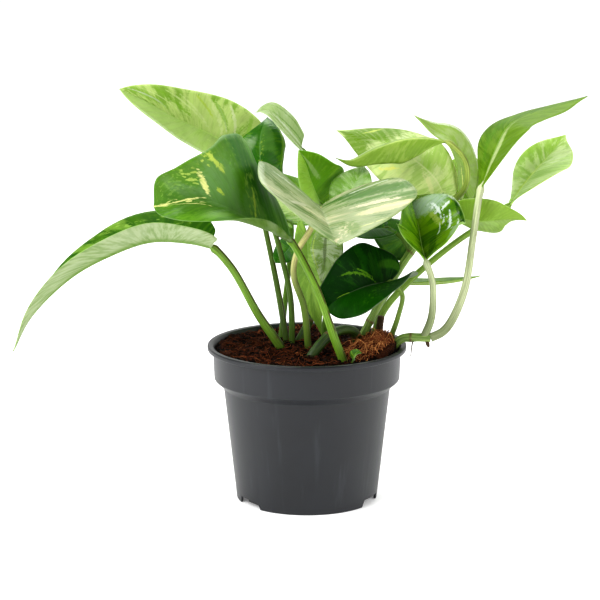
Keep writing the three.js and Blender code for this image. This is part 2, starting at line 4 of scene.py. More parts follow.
import bmesh
import bpy
import numpy as np
from mathutils import Matrix, Vector
from mathutils.noise import fractal


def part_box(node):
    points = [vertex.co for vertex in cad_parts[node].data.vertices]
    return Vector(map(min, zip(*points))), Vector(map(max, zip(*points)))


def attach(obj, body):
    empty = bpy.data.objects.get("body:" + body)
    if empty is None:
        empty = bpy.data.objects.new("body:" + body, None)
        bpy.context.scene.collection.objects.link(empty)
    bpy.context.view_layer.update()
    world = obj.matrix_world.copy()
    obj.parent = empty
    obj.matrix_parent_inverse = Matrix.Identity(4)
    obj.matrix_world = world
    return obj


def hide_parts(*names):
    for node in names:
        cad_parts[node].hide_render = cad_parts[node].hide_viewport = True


# A potted pothos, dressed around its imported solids. Lengths in the tables are millimetres, as a
# grower would measure them, and MM turns them into Blender's metres.

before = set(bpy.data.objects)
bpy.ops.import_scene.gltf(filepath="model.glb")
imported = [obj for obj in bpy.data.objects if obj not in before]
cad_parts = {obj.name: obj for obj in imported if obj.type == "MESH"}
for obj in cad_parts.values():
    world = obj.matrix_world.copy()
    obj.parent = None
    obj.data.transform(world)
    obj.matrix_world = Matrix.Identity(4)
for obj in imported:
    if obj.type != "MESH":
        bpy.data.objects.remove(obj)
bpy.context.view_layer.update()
MM = 0.001

# ---- Sizes --------------------------------------------------------------------------------------

POT_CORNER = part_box("pot")[1]
POT_HEIGHT = POT_CORNER.z / MM
RIM_RADIUS = POT_CORNER.x / MM
LIP = 3.0  # the lip is this high and its flat top this wide
BAND_RADIUS = 56.7  # the upright band under the lip
BAND_DRAFT = 0.7  # how much the band narrows downwards
BAND_FOOT = 74.5
SHOULDER = 69.5  # where the tapered body meets the band
BODY_TOP, BODY_FOOT = 50.4, 42.6  # the body's radius there and at the ground
WALL = 1.5
EDGE = 0.8  # the rounding of the moulded edges
ROUNDING_STEPS = 4
FLOOR, FLOOR_THICKNESS = 4.5, 1.6  # the pot's floor stands on a ring, this far up
NOTCH_ANGLES = (65, 185, 305)  # degrees from the front
NOTCH_TOP, NOTCH_FOOT, NOTCH_DEPTH = 17.0, 22.0, 12.0
SLOT_WIDTH, SLOT_DEPTH = 11.0, 7.0
POT_SIDES = 192
SHARP_FROM = 40  # degrees between two faces of the pot

SOIL_LEVEL = 92.0
SOIL_GAP = 0.25
SOIL_RADIUS = BAND_RADIUS - BAND_DRAFT - WALL - SOIL_GAP
SOIL_RINGS, SOIL_SIDES = 72, 168
MOUND, MOUND_REACH = 3.0, 30.0
WALL_RISE = 1.8  # the soil stands up a little against the wall
HEAP_AT, HEAP_REACH, HEAP_HEIGHT = (43.0, -11.0), (13.0, 17.0), 9.5
BARE_HEAP = 0.93  # how much of the heap's height is soil, under its loose fibres
CLODS, GRAINS = (1.7, 3.0, 0.14, 0.9), (1.1, 9.0, 0.5, 0.8)  # height, layer, pitch, roughness
FIBRES = 1500
HEAP_SHARE = 0.42  # the share of the fibres that lie in the heap
STRAND_STEPS = 6
CRUMBS = 900

BURIED = 10.0  # how far stalks and vines go on into the soil
BLADE_THICKNESS, MARGIN_THICKNESS = 0.7, 0.4
KEEL_HEIGHT = 0.9  # the midrib stands out under the blade
GROOVE_DEPTH = 0.45  # and is sunk on its upper side
RIB_WIDTH = 1.1
WAVE = 0.8  # how far the margin waves up and down on a leaf of WAVE_WIDTH
WAVE_WIDTH = 30
WAVES = 3
RIPPLE = 0.22  # how high the blade swells between its side veins
VEIN_PAIRS = 9
PATH_SAMPLES, RIB_SAMPLES = 400, 96
LARGE_LEAF = 16  # a wider leaf gets the fine grid
FINE_GRID, PLAIN_GRID = (72, 16), (44, 9)  # rows along the leaf, columns from midrib to margin
CROWDING = 1.25  # the columns crowd a little at the midrib

STALK_RADIUS = 1.8
INTO_BLADE = 0.25  # how far a stalk runs on along the midrib, as a share of its first stretch
SUNK_STALKS = {"leaf_front_centre": 0.7}  # how far under its notch a stalk ends, in its own radii
CHANNEL_WIDTH = 0.55  # half the width of the channel along a stalk, in radians
JOINT_SPACING, JOINT_SHIFT = 24.0, 6.0  # the joints of a vine
THREAD_SIDES = 4
AERIAL_ROOT = {"radius": 0.5, "path": [(64, -7, 99), (63, -10, 97), (62, -13, 90)]}
NUB = {"radius": 1.2, "path": [(72, -8, 98.5), (72.5, -9, 96.5), (73, -10, 95)]}
CUT_STUB = {"radius": 2.4, "path": [(45, 8, 90), (44, 9, 102), (45, 9, 110)]}

# A heart laid flat, one half: how far along the midrib, and how far out from it.
HEART = [
    (0, 0), (-0.1, 0.26), (-0.09, 0.6), (0.08, 0.9), (0.3, 1),
    (0.55, 0.8), (0.78, 0.42), (0.92, 0.12), (1, 0),
]
WIDEST = 4
ROUND_END = {5: (0.58, 0.9), 6: (0.83, 0.66), 7: (0.97, 0.34)}
WEDGE_BASE = {1: (0.07, 0.16), 2: (0.16, 0.42), 3: (0.27, 0.76), 4: (0.42, 1)}

# ---- The plant's form ---------------------------------------------------------------------------

VINES = {
    "vine_centre": {
        "radius": 2.6, "path": [(-7, 6, 90), (1, 10, 106), (7, 14, 128), (11, 14, 152), (12, 12, 168)],
    },
    "vine_right_back": {
        "radius": 2.4,
        "path": [(30, 4, 90), (40, 4, 112), (53, 8, 135), (67, 16, 154), (82, 26, 168), (88, 34, 176)],
    },
    "vine_over_rim": {
        "radius": 2.6,
        "path": [(49, -5, 88), (51.5, -5.5, 94), (57, -6, 99.5), (65, -7, 100.5), (74, -8, 100.5)],
    },
    "vine_arch": {
        "radius": 3,
        "path": [
            (1, -27, 90), (7, -23, 99), (15, -17, 105), (23, -10, 106), (29, -4, 102), (32, -1, 84),
        ],
    },
}

# A leaf's rib is its midrib from notch to tip, face the way its upper side looks at the notch,
# twist how far it turns towards the tip, and width the width of one half. right, left, or both give
# a half's fold in degrees at the notch, its fold at the tip, and its curl towards the margin. blunt,
# wedge and lobe reshape the heart, and an outline takes its place. A stalk without "on" starts in
# the soil.
FLAT = (5, 5, 0)
LEAVES = {
    "leaf_left_low": {
        "tone": "light", "width": 28, "face": (0.2, 0, 1), "twist": 20, "lobe": 0,
        "rib": [
            (-56, -24, 159), (-69, -25, 162), (-92, -27, 163), (-115, -33, 156), (-138, -40, 144),
            (-161, -48, 122), (-171, -53, 103),
        ],
        "left": (31, 25, 0), "right": (30, 17, 9),
        "stalk": [(-14, -4, 90), (-29, -10, 115), (-45, -19, 146)], "radius": 2.6,
    },
    "leaf_left_high": {
        "tone": "light", "width": 26, "face": (0.6, -1, 0.4), "twist": -9, "blunt": 0.4, "lobe": 0.4,
        "rib": [
            (-36, 40, 202), (-53, 35, 214), (-67, 31, 222), (-81, 23, 230), (-95, 12, 240),
            (-111, 3, 249),
        ],
        "both": (36, 36, 16), "stalk": [(-12, 10, 90), (-16, 14, 116), (-24, 24, 155)],
    },
    "leaf_front_left": {
        "tone": "dark", "width": 50, "face": (1, -0.2, 0.7),
        "outline": [
            (0, 0), (0, 0.35), (0.08, 0.7), (0.18, 0.92), (0.33, 0.97), (0.49, 1.01), (0.61, 0.86),
            (0.73, 0.56), (0.86, 0.4), (0.97, 0.32), (1, 0),
        ],
        "left_half": {
            "width": 28,
            "outline": [
                (0, 0), (0.04, 0.12), (0.1, 0.24), (0.2, 0.4), (0.34, 0.68), (0.5, 0.9), (0.65, 0.82),
                (0.8, 0.55), (0.91, 0.34), (0.98, 0.16), (1, 0),
            ],
        },
        "rib": [
            (-9, -30, 163), (-21, -51, 174), (-35, -69, 185), (-49, -84, 195), (-60, -94, 199),
            (-85, -108, 198),
        ],
        "left": (40, -40, 95), "right": (13, 50, -22),
        "stalk": [(22, -36, 90), (16, -37, 107), (12, -38, 119), (5, -37, 138)], "radius": 2.4,
    },
    "leaf_behind_left": {
        "tone": "dark", "width": 16, "face": (0.1, -0.9, 0.2),
        "outline": [
            (0, 0), (-0.1, 0.26), (-0.05, 0.6), (0.08, 0.88), (0.22, 0.95), (0.42, 1.11), (0.6, 1.1),
            (0.74, 0.98), (0.89, 0.66), (0.95, 0.33), (1, 0),
        ],
        "left_half": {
            "outline": [
                (0, 0), (-0.1, 0.26), (-0.05, 0.6), (0.08, 0.85), (0.2, 0.95), (0.32, 0.93),
                (0.44, 0.88), (0.56, 0.74), (0.66, 0.42), (0.81, 0.12), (1, 0),
            ],
        },
        "rib": [(-27, 8, 190), (-28, 10, 205), (-28, 14, 217), (-26, 22, 225), (-24, 32, 228)],
        "both": (-5, -5, -35), "stalk": [(-9, 1, 90), (-10, 4, 123), (-16, 6, 150)],
    },
    "leaf_front_centre": {
        "tone": "cream", "width": 56, "face": (0, -0.1, 1),
        "outline": [
            (0, 0), (0.04, 0.26), (-0.07, 0.43), (-0.08, 0.63), (0.09, 0.83), (0.38, 0.95),
            (0.59, 0.96), (0.75, 0.88), (0.89, 0.68), (0.96, 0.4), (1, 0),
        ],
        "left_half": {
            "outline": [
                (0, 0), (-0.11, 0.2), (-0.14, 0.39), (-0.13, 0.6), (-0.05, 0.8), (0.08, 0.95),
                (0.24, 0.99), (0.4, 0.94), (0.55, 0.8), (0.68, 0.61), (0.81, 0.38), (0.92, 0.18),
                (1, 0),
            ],
        },
        "rib": [(8, -24, 183), (10, -41, 181), (13, -69, 178), (17, -100, 175)], "left": (21, 11, -6),
        "right": (39, 34, 8),
        "stalk": [(1, -6, 90), (-2, -9, 120), (-8, -13, 140), (-6, -16, 154), (1, -20, 167)],
        "radius": 2,
    },
    "leaf_centre_tall": {
        "tone": "mid", "width": 22, "face": (1, -0.4, 0), "twist": -36, "blunt": 0.3, "lobe": -0.1,
        "rib": [(9, 14, 177), (5, 6, 187), (2, 0, 196), (-1, -4, 206), (-5, -7, 214)],
        "both": (27, 27, 4), "stalk": [(12, 13, 164), (13, 17, 172)], "on": "vine_centre",
    },
    "leaf_centre_pale": {
        "tone": "cream", "width": 11, "face": (1, -0.3, 0.5), "twist": -18, "blunt": 0.9, "lobe": -0.5,
        "rib": [(-3, 20, 210), (-10, 11, 220), (-17, 8, 229), (-23, 8, 235), (-30, 13, 234)],
        "both": (20, 20, 5), "stalk": [(11, 14, 152), (14, 22, 170), (10, 23, 190)],
        "on": "vine_centre",
    },
    "leaf_centre_left": {
        "tone": "mid", "width": 10, "face": (0.6, -0.4, 0.7),
        "rib": [(3, 20, 179), (-3, 22, 185), (-10, 24, 191), (-15, 26, 195)],
        "stalk": [(9, 14, 140), (8, 20, 160)], "on": "vine_centre", "radius": 1.1,
    },
    "leaf_centre_dark": {
        "tone": "dark", "width": 13, "face": (-0.3, -0.9, 0.3),
        "rib": [(23, -2, 180), (26, 0, 188), (31, 6, 197), (34, 14, 202)],
        "stalk": [(12, 12, 166), (18, 2, 172)], "on": "vine_centre", "radius": 1.2,
    },
    "leaf_right_pale": {
        "tone": "light", "width": 27, "face": (0.7, -1, -0.2), "twist": 13, "lobe": 0.6,
        "rib": [
            (84, 32, 179), (78, 25, 191), (68, 23, 201), (56, 29, 208), (38, 37, 214), (18, 52, 217),
        ],
        "left": (-32, -32, -8), "right": (-14, -14, -34), "stalk": [(80, 25, 166), (84, 30, 172)],
        "on": "vine_right_back",
    },
    "leaf_right_young": {
        "tone": "light", "width": 14, "face": (0.3, -0.6, 0.8), "wedge": 1,
        "rib": [(84, 12, 216), (70, 10, 218), (56, 8, 217), (40, 5, 212), (26, 2, 206), (17, 0, 208)],
        "left": (-40, -40, -40), "right": (-30, -30, -40),
        "stalk": [(87, 32, 174), (96, 22, 188), (95, 16, 204)], "on": "vine_right_back",
    },
    "leaf_right_tall": {
        "tone": "mid", "width": 25, "face": (-1, -1, 0.4), "wedge": 0.8, "twist": -17,
        "rib": [
            (103, -4, 190), (110, 1, 209), (120, 10, 226), (133, 15, 232), (149, 21, 236),
            (169, 30, 241),
        ],
        "left": (-27, -2, 0), "right": (36, -21, 0),
        "stalk": [(74, -8, 100.5), (81, -8, 104), (86, -8, 110), (94, -8, 130), (99, -6, 163)],
        "radius": 2.4, "on": "vine_over_rim",
    },
    "leaf_right_far": {
        "tone": "light", "width": 32, "face": (-1, -0.5, 1), "wedge": 0.6, "twist": 16,
        "rib": [(123, 24, 176), (130, 28, 185), (139, 35, 195), (150, 44, 205), (159, 54, 214)],
        "left": (-19, 33, -50), "right": (27, -10, -4),
        "stalk": [(40, 17, 90), (46, 18, 110), (63, 20, 130), (88, 27, 150), (107, 29, 163)],
        "radius": 2.1,
    },
    "leaf_right_low": {
        "tone": "mid", "width": 15, "face": (-0.6, -1, -0.8),
        "outline": [
            (0, 0), (-0.08, 0.25), (-0.06, 0.5), (0, 0.75), (0.1, 0.92), (0.2, 1), (0.36, 1.12),
            (0.49, 0.98), (0.64, 0.59), (0.78, 0.25), (1, 0),
        ],
        "left_half": {
            "outline": [
                (0, 0), (-0.1, 0.3), (-0.05, 0.65), (0.13, 0.9), (0.3, 0.96), (0.49, 0.95),
                (0.63, 0.79), (0.76, 0.5), (0.87, 0.27), (0.95, 0.12), (1, 0),
            ],
        },
        "rib": [(91, 14, 169), (104, 6, 169), (115, 0, 171), (124, -3, 172), (131, -2, 171)],
        "both": (-31, -31, 20), "stalk": [(67, 16, 154), (78, 16, 163)], "on": "vine_right_back",
    },
    "leaf_right_glossy": {
        "tone": "dark", "width": 32, "face": (0.1, -0.7, 1), "twist": 30, "lobe": 0, "blunt": 0.2,
        "rib": [(70, -20, 150), (68, -10, 157), (66, -2, 168), (63, 9, 177), (63, 25, 181)],
        "both": (56, 56, -11),
        "stalk": [(70, -7.5, 100.5), (74, -10, 112), (75, -14, 125), (74, -18, 138)], "radius": 2.2,
        "on": "vine_over_rim",
    },
    "leaf_low_dark": {
        "tone": "dark", "width": 26, "face": (0.5, -0.6, 1), "twist": -31, "blunt": 0.6, "lobe": 2,
        "rib": [(50, -4, 134), (37, -15, 134), (25, -22, 131), (15, -26, 126), (11, -23, 121)],
        "left": (56, 16, 18), "right": (26, 16, -4),
        "stalk": [(49, 4, 92), (55, 1, 112), (57, -2, 126)], "radius": 1.7,
    },
    "leaf_hanging_green": {
        "tone": "mid", "width": 9, "face": (-0.3, -0.9, 0.2),
        "rib": [(0, 7, 162), (1, 4, 144), (4, 1, 121), (9, 3, 99)],
        "stalk": [(6, 13, 126), (0, 12, 145), (-1, 9, 158)], "on": "vine_centre", "radius": 1.2,
    },
    "leaf_hanging_grey": {
        "tone": "light", "width": 10, "face": (-0.2, -1, 0.1),
        "rib": [(12, -1, 162), (12, -4, 153), (11, -5, 143), (8, -4, 133)],
        "stalk": [(12, 14, 158), (13, 5, 166)], "on": "vine_centre", "radius": 1.2,
    },
    "leaf_small_left": {
        "tone": "dark", "width": 8, "face": (-0.4, -0.9, 0.3), "blunt": 0.5,
        "rib": [(-8, 20, 153), (-13, 20, 147), (-16, 18, 144), (-19, 14, 142)],
        "stalk": [(8, 13, 136), (0, 18, 148)], "on": "vine_centre", "radius": 1.1,
    },
    "leaf_right_corner": {
        "tone": "mid", "width": 16, "face": (0.9, -0.5, 0.1),
        "rib": [(97, 51, 181), (96, 54, 196), (90, 56, 210), (77, 56, 217), (66, 54, 226)],
        "both": (10, 10, 0), "stalk": [(86, 34, 173), (89, 45, 174)], "on": "vine_right_back",
        "radius": 1.2,
    },
    "leaf_right_behind": {
        "tone": "light", "width": 16, "face": (-0.5, -0.8, 0.4),
        "rib": [(94, 68, 173), (97, 72, 184), (100, 76, 195), (103, 82, 200)],
        "stalk": [(83, 28, 169), (88, 50, 167)], "on": "vine_right_back", "radius": 1.2,
    },
    "leaf_inner_right": {
        "tone": "dark", "width": 16, "face": (0.2, -0.7, 0.7), "blunt": 0.5,
        "rib": [(64, 27, 149), (57, 29, 153), (51, 33, 158), (45, 41, 164)],
        "stalk": [(58, 11, 142), (62, 21, 146)], "on": "vine_right_back", "radius": 1.2,
    },
    "leaf_under_cream": {
        "tone": "dark", "width": 11, "face": (0.3, -0.3, 0.9),
        "rib": [(48, 18, 163), (38, 10, 163), (30, 2, 162), (23, -6, 163)],
        "stalk": [(62, 13.5, 149), (57, 15, 157)], "on": "vine_right_back", "radius": 1.2,
    },
    "leaf_edge_on": {
        "tone": "mid", "width": 13, "face": (0, 0.1, 1),
        "rib": [(62, 34, 125), (76, 33, 125), (92, 31, 127), (106, 28, 131)], "both": (10, 10, 0),
        "stalk": [(40, 29, 90), (46, 31, 112), (54, 33, 122)], "radius": 1.2,
    },
    "leaf_back_left": {
        "tone": "mid", "width": 24, "face": (0, 0, 1),
        "rib": [(-10, 46, 160), (-26, 65, 167), (-42, 87, 165), (-57, 110, 152)], "both": (15, 15, 10),
        "stalk": [(-16, 22, 90), (-13, 28, 118), (-10, 37, 146)],
    },
    "leaf_back_centre": {
        "tone": "light", "width": 24, "face": (0, 0, 1),
        "rib": [(24, 42, 160), (34, 63, 168), (44, 86, 166), (50, 110, 154)], "both": (15, 15, 10),
        "stalk": [(10, 30, 90), (14, 34, 120), (20, 38, 146)],
    },
    "leaf_back_right": {
        "tone": "dark", "width": 18, "face": (0, 0, 1),
        "rib": [(84, 45, 158), (97, 66, 161), (113, 94, 152)], "both": (15, 15, 10),
        "stalk": [(76, 22, 162), (80, 35, 158)], "on": "vine_right_back", "radius": 1.2,
    },
    "leaf_sprout": {
        "tone": "light", "width": 3.5, "face": (-0.3, -0.6, 0.7), "lobe": 0,
        "rib": [(27, -40, 95), (27.5, -42, 98), (29.5, -43, 100), (32, -43, 99.5)], "both": (20, 20, 0),
        "stalk": [(26, -39, 91)], "radius": 1,
    },
}

# ---- Shader maths -------------------------------------------------------------------------------

PALE_GREEN = (0.85, 0.88, 0.7, 1.0)  # in linear light


class Value:
    """A node's output, with Python's arithmetic."""

    def __init__(self, paint, socket):
        self.paint = paint
        self.socket = socket

    def __add__(self, other):
        return self.paint.maths("ADD", self, other)

    def __sub__(self, other):
        return self.paint.maths("SUBTRACT", self, other)

    def __rsub__(self, other):
        return self.paint.maths("SUBTRACT", other, self)

    def __mul__(self, other):
        return self.paint.maths("MULTIPLY", self, other)

    def __truediv__(self, other):
        return self.paint.maths("DIVIDE", self, other)

    def __rtruediv__(self, other):
        return self.paint.maths("DIVIDE", other, self)

    __radd__ = __add__
    __rmul__ = __mul__

    def absolute(self):
        return self.paint.maths("ABSOLUTE", self)

    def sine(self):
        return self.paint.maths("SINE", self)

    def fraction(self):
        return self.paint.maths("FRACT", self)

    def between(self, low, high, to_low=0.0, to_high=1.0):
        """A soft step: to_low under low, to_high over high."""
        settings = {"interpolation_type": "SMOOTHSTEP", "clamp": True}
        sockets = {"Value": self, "From Min": low, "From Max": high, "To Min": to_low, "To Max": to_high}
        return self.paint.node("MapRange", settings, sockets)

    def near(self, centre, width):
        """1 at centre, fading to 0 at width on either side."""
        return (self - centre).absolute().between(0.0, width, 1.0, 0.0)


class Paint:
    """One material and its nodes."""

    def __init__(self, name):
        self.material = bpy.data.materials.new(name)
        self.material.use_nodes = True
        self.tree = self.material.node_tree
        self.tree.nodes.clear()

    def node(self, kind, settings=None, sockets=None, output=0):
        made = self.tree.nodes.new("ShaderNode" + kind)
        for key, value in (settings or {}).items():
            setattr(made, key, value)
        for key, value in (sockets or {}).items():
            if isinstance(value, Value):
                self.tree.links.new(value.socket, made.inputs[key])
            else:
                made.inputs[key].default_value = value
        return Value(self, made.outputs[output]) if made.outputs else None

    def maths(self, operation, *values):
        return self.node("Math", {"operation": operation}, dict(enumerate(values)))

    def place(self):
        return self.node("TexCoord", output="Object")

    def parts(self, vector):
        """A vector's x, y and z."""
        made = self.node("SeparateXYZ", sockets={0: vector})
        return [Value(self, socket) for socket in made.socket.node.outputs]

    def layout(self):
        """The two numbers of the piece's own layout."""
        return self.parts(self.node("UVMap", {"uv_map": "layout"}))[:2]

    def attribute(self, name):
        return self.node("Attribute", {"attribute_name": name}, output="Fac")

    def noise(self, where, scale, detail, roughness, distortion=0.0):
        sockets = {"Vector": where, "Scale": scale, "Detail": detail, "Roughness": roughness}
        return self.node("TexNoise", sockets={**sockets, "Distortion": distortion})

    def drawn_noise(self, x, y, z, detail=3.0, roughness=0.6, distortion=0.0):
        """Noise at x, y and z, which are stretched to draw it out into streaks."""
        where = self.node("CombineXYZ", sockets={0: x, 1: y, 2: z})
        return self.noise(where, 1.0, detail, roughness, distortion)

    def mix(self, mask, first, second):
        """From the first colour to the second as mask goes from 0 to 1."""
        settings = {"data_type": "RGBA", "clamp_factor": True}
        return self.node("Mix", settings, {0: mask, 6: first, 7: second}, output=2)

    def bump(self, height, distance, strength):
        return self.node("Bump", sockets={"Height": height, "Distance": distance, "Strength": strength})

    def finish(self, colour, roughness, normal=None, glow=0.0, shine=0.5, emission=0.0):
        """Closes the material. glow is the share of light that comes through from behind."""
        relief = {} if normal is None else {"Normal": normal}
        sockets = {"Base Color": colour, "Roughness": roughness, "Specular IOR Level": shine, **relief}
        if emission:
            sockets["Emission Color"] = (1, 1, 1, 1)
            sockets["Emission Strength"] = emission
        surface = self.node("BsdfPrincipled", sockets=sockets)
        if glow:
            through = self.node("BsdfTranslucent", sockets={"Color": colour, **relief})
            surface = self.node("MixShader", sockets={0: glow, 1: surface, 2: through})
        self.node("OutputMaterial", sockets={0: surface})
        return self.material


def srgb(*channels):
    """A colour as seen on a screen, from 0 to 255, in Blender's linear light."""
    shares = [channel / 255 for channel in channels]
    linear = [s / 12.92 if s <= 0.04 else ((s + 0.055) / 1.055) ** 2.4 for s in shares]
    return (*linear, 1.0)


def lighter(tone, share):
    """Mixed with a pale green."""
    return tuple(own + (pale - own) * share for own, pale in zip(tone, PALE_GREEN))


def scaled(tone, share):
    """Brighter or darker, with its own hue."""
    return tuple(min(channel * share, 0.92) for channel in tone[:3]) + (1.0,)


# ---- Curves -------------------------------------------------------------------------------------


def catmull(points, shares):
    """Points on a centripetal Catmull-Rom curve, at shares of its run from 0 to 1."""
    points = np.array(points, float)
    ends = np.array([2 * points[0] - points[1], *points, 2 * points[-1] - points[-2]])
    gaps = np.maximum(np.linalg.norm(np.diff(ends, axis=0), axis=1) ** 0.5, 1e-4)
    last = len(points) - 1
    place = np.asarray(shares, float) * last
    start = np.minimum(place.astype(int), last - 1)
    weight = (place - start)[:, None]
    before, first, second, after = (ends[start + k] for k in range(4))
    gap_0, gap_1, gap_2 = (gaps[start + k][:, None] for k in range(3))
    middle = (second - first) / gap_1
    leave = (first - before) / gap_0 - (second - before) / (gap_0 + gap_1) + middle
    arrive = middle - (after - first) / (gap_1 + gap_2) + (after - second) / gap_2
    leave, arrive = leave * gap_1, arrive * gap_1
    return (first + leave * weight + (-3 * first + 3 * second - 2 * leave - arrive) * weight ** 2
            + (2 * first - 2 * second + leave + arrive) * weight ** 3)


def even_path(points, count):
    """count + 1 points at even distances along a smooth path, and the path's length."""
    fine = catmull(points, np.linspace(0, 1, PATH_SAMPLES))
    run = np.concatenate([[0], np.cumsum(np.linalg.norm(np.diff(fine, axis=0), axis=1))])
    stations = np.linspace(0, run[-1], count + 1)
    return np.stack([np.interp(stations, run, fine[:, axis]) for axis in range(3)], 1), run[-1]


def unit(vectors):
    return vectors / np.maximum(np.linalg.norm(vectors, axis=-1, keepdims=True), 1e-12)


def turned_along(path, up):
    """A frame along a path that turns as little as it can: forward and up at each point."""
    forward = unit(np.gradient(path, axis=0))
    ups = []
    for ahead in forward:
        up = unit(up - ahead * np.dot(up, ahead))
        ups.append(up)
    return forward, np.array(ups)


def ease(share):
    return share * share * (3 - 2 * share)


# ---- Meshes -------------------------------------------------------------------------------------


def piece(name, points, faces, materials, layout=None, material_numbers=None, attributes=None):
    """A smooth mesh object. points are millimetres, and layout is two numbers for each of them."""
    mesh = bpy.data.meshes.new(name)
    mesh.from_pydata((np.array(points) * MM).tolist(), [], faces)
    for material in materials:
        mesh.materials.append(material)
    if material_numbers is not None:
        mesh.polygons.foreach_set("material_index", material_numbers)
    if layout is not None:
        corner_ids = np.empty(len(mesh.loops), np.int32)
        mesh.loops.foreach_get("vertex_index", corner_ids)
        layer = mesh.uv_layers.new(name="layout")
        layer.data.foreach_set("uv", np.array(layout, np.float32)[corner_ids].ravel())
    for key, values in (attributes or {}).items():
        mesh.attributes.new(key, "FLOAT", "POINT").data.foreach_set("value", np.array(values, np.float32))
    mesh.polygons.foreach_set("use_smooth", [True] * len(mesh.polygons))
    mesh.update()
    made = bpy.data.objects.new(name, mesh)
    bpy.context.scene.collection.objects.link(made)
    return made


def joined(name, parts, materials):
    """One piece from parts, each its points, faces, layout, material number and attributes."""
    points, faces, layout, numbers, attributes = [], [], [], [], {}
    for part_points, part_faces, part_layout, number, part_attributes in parts:
        start = len(points)
        points.extend(part_points)
        faces.extend([tuple(i + start for i in face) for face in part_faces])
        layout.extend(part_layout)
        numbers.extend([number] * len(part_faces))
        for key, value in part_attributes.items():
            values = value if isinstance(value, list) else [value] * len(part_points)
            attributes.setdefault(key, []).extend(values)
    return piece(name, points, faces, materials, layout, numbers, attributes)


def keep(made, slot, *nodes):
    """The piece moves with the plant and stands for these solids. slot is not used."""
    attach(made, "root")
    if nodes:
        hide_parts(*nodes)


def normals_of(points, faces):
    normals = np.zeros_like(points)
    for corners in (np.array([f for f in faces if len(f) == n]) for n in (3, 4)):
        if len(corners) == 0:
            continue
        first, second, third = (points[corners[:, k]] for k in (0, 1, 2))
        facing = np.cross(second - first, third - first)
        for k in range(corners.shape[1]):
            np.add.at(normals, corners[:, k], facing)
    return unit(normals)


# ---- Tubes --------------------------------------------------------------------------------------


def tube(path, radius, up, sides=14, ring_gap=1.4, shape=None, hollow=0.0):
    """A closed tube along a path. shape gives the radius's share at each ring, and hollow the depth
    of the channel along its upper side. The layout is millimetres along, and the share around."""
    length = even_path(path, 8)[1]
    rings = max(6, int(length / ring_gap))
    line, _ = even_path(path, rings)
    forward, ups = turned_along(line, np.array(up, float))
    rights = np.cross(forward, ups)
    along = np.linspace(0, 1, rings + 1)
    shares = np.ones(rings + 1) if shape is None else shape(along, length)
    angles = np.linspace(0, 2 * math.pi, sides, endpoint=False)
    from_top = np.minimum(angles, 2 * math.pi - angles)
    dent = 1 - hollow * np.exp(-(from_top / CHANNEL_WIDTH) ** 2)
    points, layout = [], []
    for ring in range(rings + 1):
        for angle, inward in zip(angles, dent):
            reach = radius * shares[ring] * inward
            outward = math.cos(angle) * ups[ring] - math.sin(angle) * rights[ring]
            points.append(line[ring] + reach * outward)
            layout.append((along[ring] * length, angle / (2 * math.pi)))
    faces = []
    for ring in range(rings):
        for side in range(sides):
            here, beside = ring * sides + side, ring * sides + (side + 1) % sides
            faces.append((here, here + sides, beside + sides, beside))
    faces.append(tuple(range(sides)))
    faces.append(tuple(reversed(range(rings * sides, (rings + 1) * sides))))
    return points, faces, layout


def rooted(path):
    """A path that starts at the soil, carried on down into it a little against its lean."""
    foot, following = path[0], path[1]
    against = 0.15
    below = [foot[axis] - against * (following[axis] - foot[axis]) for axis in (0, 1)]
    return [(*below, foot[2] - BURIED), *path]


# ---- Leaves -------------------------------------------------------------------------------------


def margin(half):
    """The margin of one half, laid flat: its own outline, or else the heart."""
    if "outline" in half:
        return [(along, out, 0) for along, out in half["outline"]]
    blunt, wedge, lobe = half.get("blunt", 0), half.get("wedge", 0), half.get("lobe", 1)
    points = []
    for number, (along, out) in enumerate(HEART):
        round_along, round_out = ROUND_END.get(number, (along, out))
        wedge_along, wedge_out = WEDGE_BASE.get(number, (along, out))
        rounding = blunt if number > WIDEST else 0
        wedging = 0 if number > WIDEST else wedge
        if along < 0:
            along *= lobe
        along += (round_along - along) * rounding
        along += (wedge_along - along) * wedging
        out += (round_out - out) * rounding
        out += (wedge_out - out) * wedging
        points.append((along, out, 0))
    return points


def rib_frame(leaf):
    """The midrib's points, directions and upper side, which also carries the leaf's twist."""
    path, length = even_path(leaf["rib"], RIB_SAMPLES)
    forward, ups = turned_along(path, np.array(leaf["face"], float))
    turn = np.radians(leaf.get("twist", 0)) * ease(np.linspace(0, 1, RIB_SAMPLES + 1))[:, None]
    ups = ups * np.cos(turn) + np.cross(forward, ups) * np.sin(turn)
    return path, forward, ups, length


def on_blade(rib, half, side, along, reach):
    """Where places on the flat heart lie in space. along and reach are arrays of one shape."""
    path, forward, ups, length = rib
    folds = half.get("right" if side > 0 else "left") or half.get("both", FLAT)
    at_notch, at_tip, at_margin = folds
    inside = np.clip(along, 0, 1)
    fold = np.radians(at_notch + (at_tip - at_notch) * inside)
    curl = math.radians(at_margin) or 1e-6
    bend = fold + curl * reach
    across = half["width"] / curl * (np.sin(bend) - np.sin(fold))
    lift = half["width"] / curl * (np.cos(fold) - np.cos(bend))
    station = inside * (len(path) - 1)
    stations = np.arange(len(path))
    at, ahead, up = (np.stack([np.interp(station, stations, rows[:, axis]) for axis in range(3)], -1)
                     for rows in (path, forward, ups))
    ahead, up = unit(ahead), unit(up)
    at = at + ahead * (np.minimum(along, 0) * length)[..., None]
    right = np.cross(ahead, up)
    return at + right * (side * across)[..., None] + up * lift[..., None]


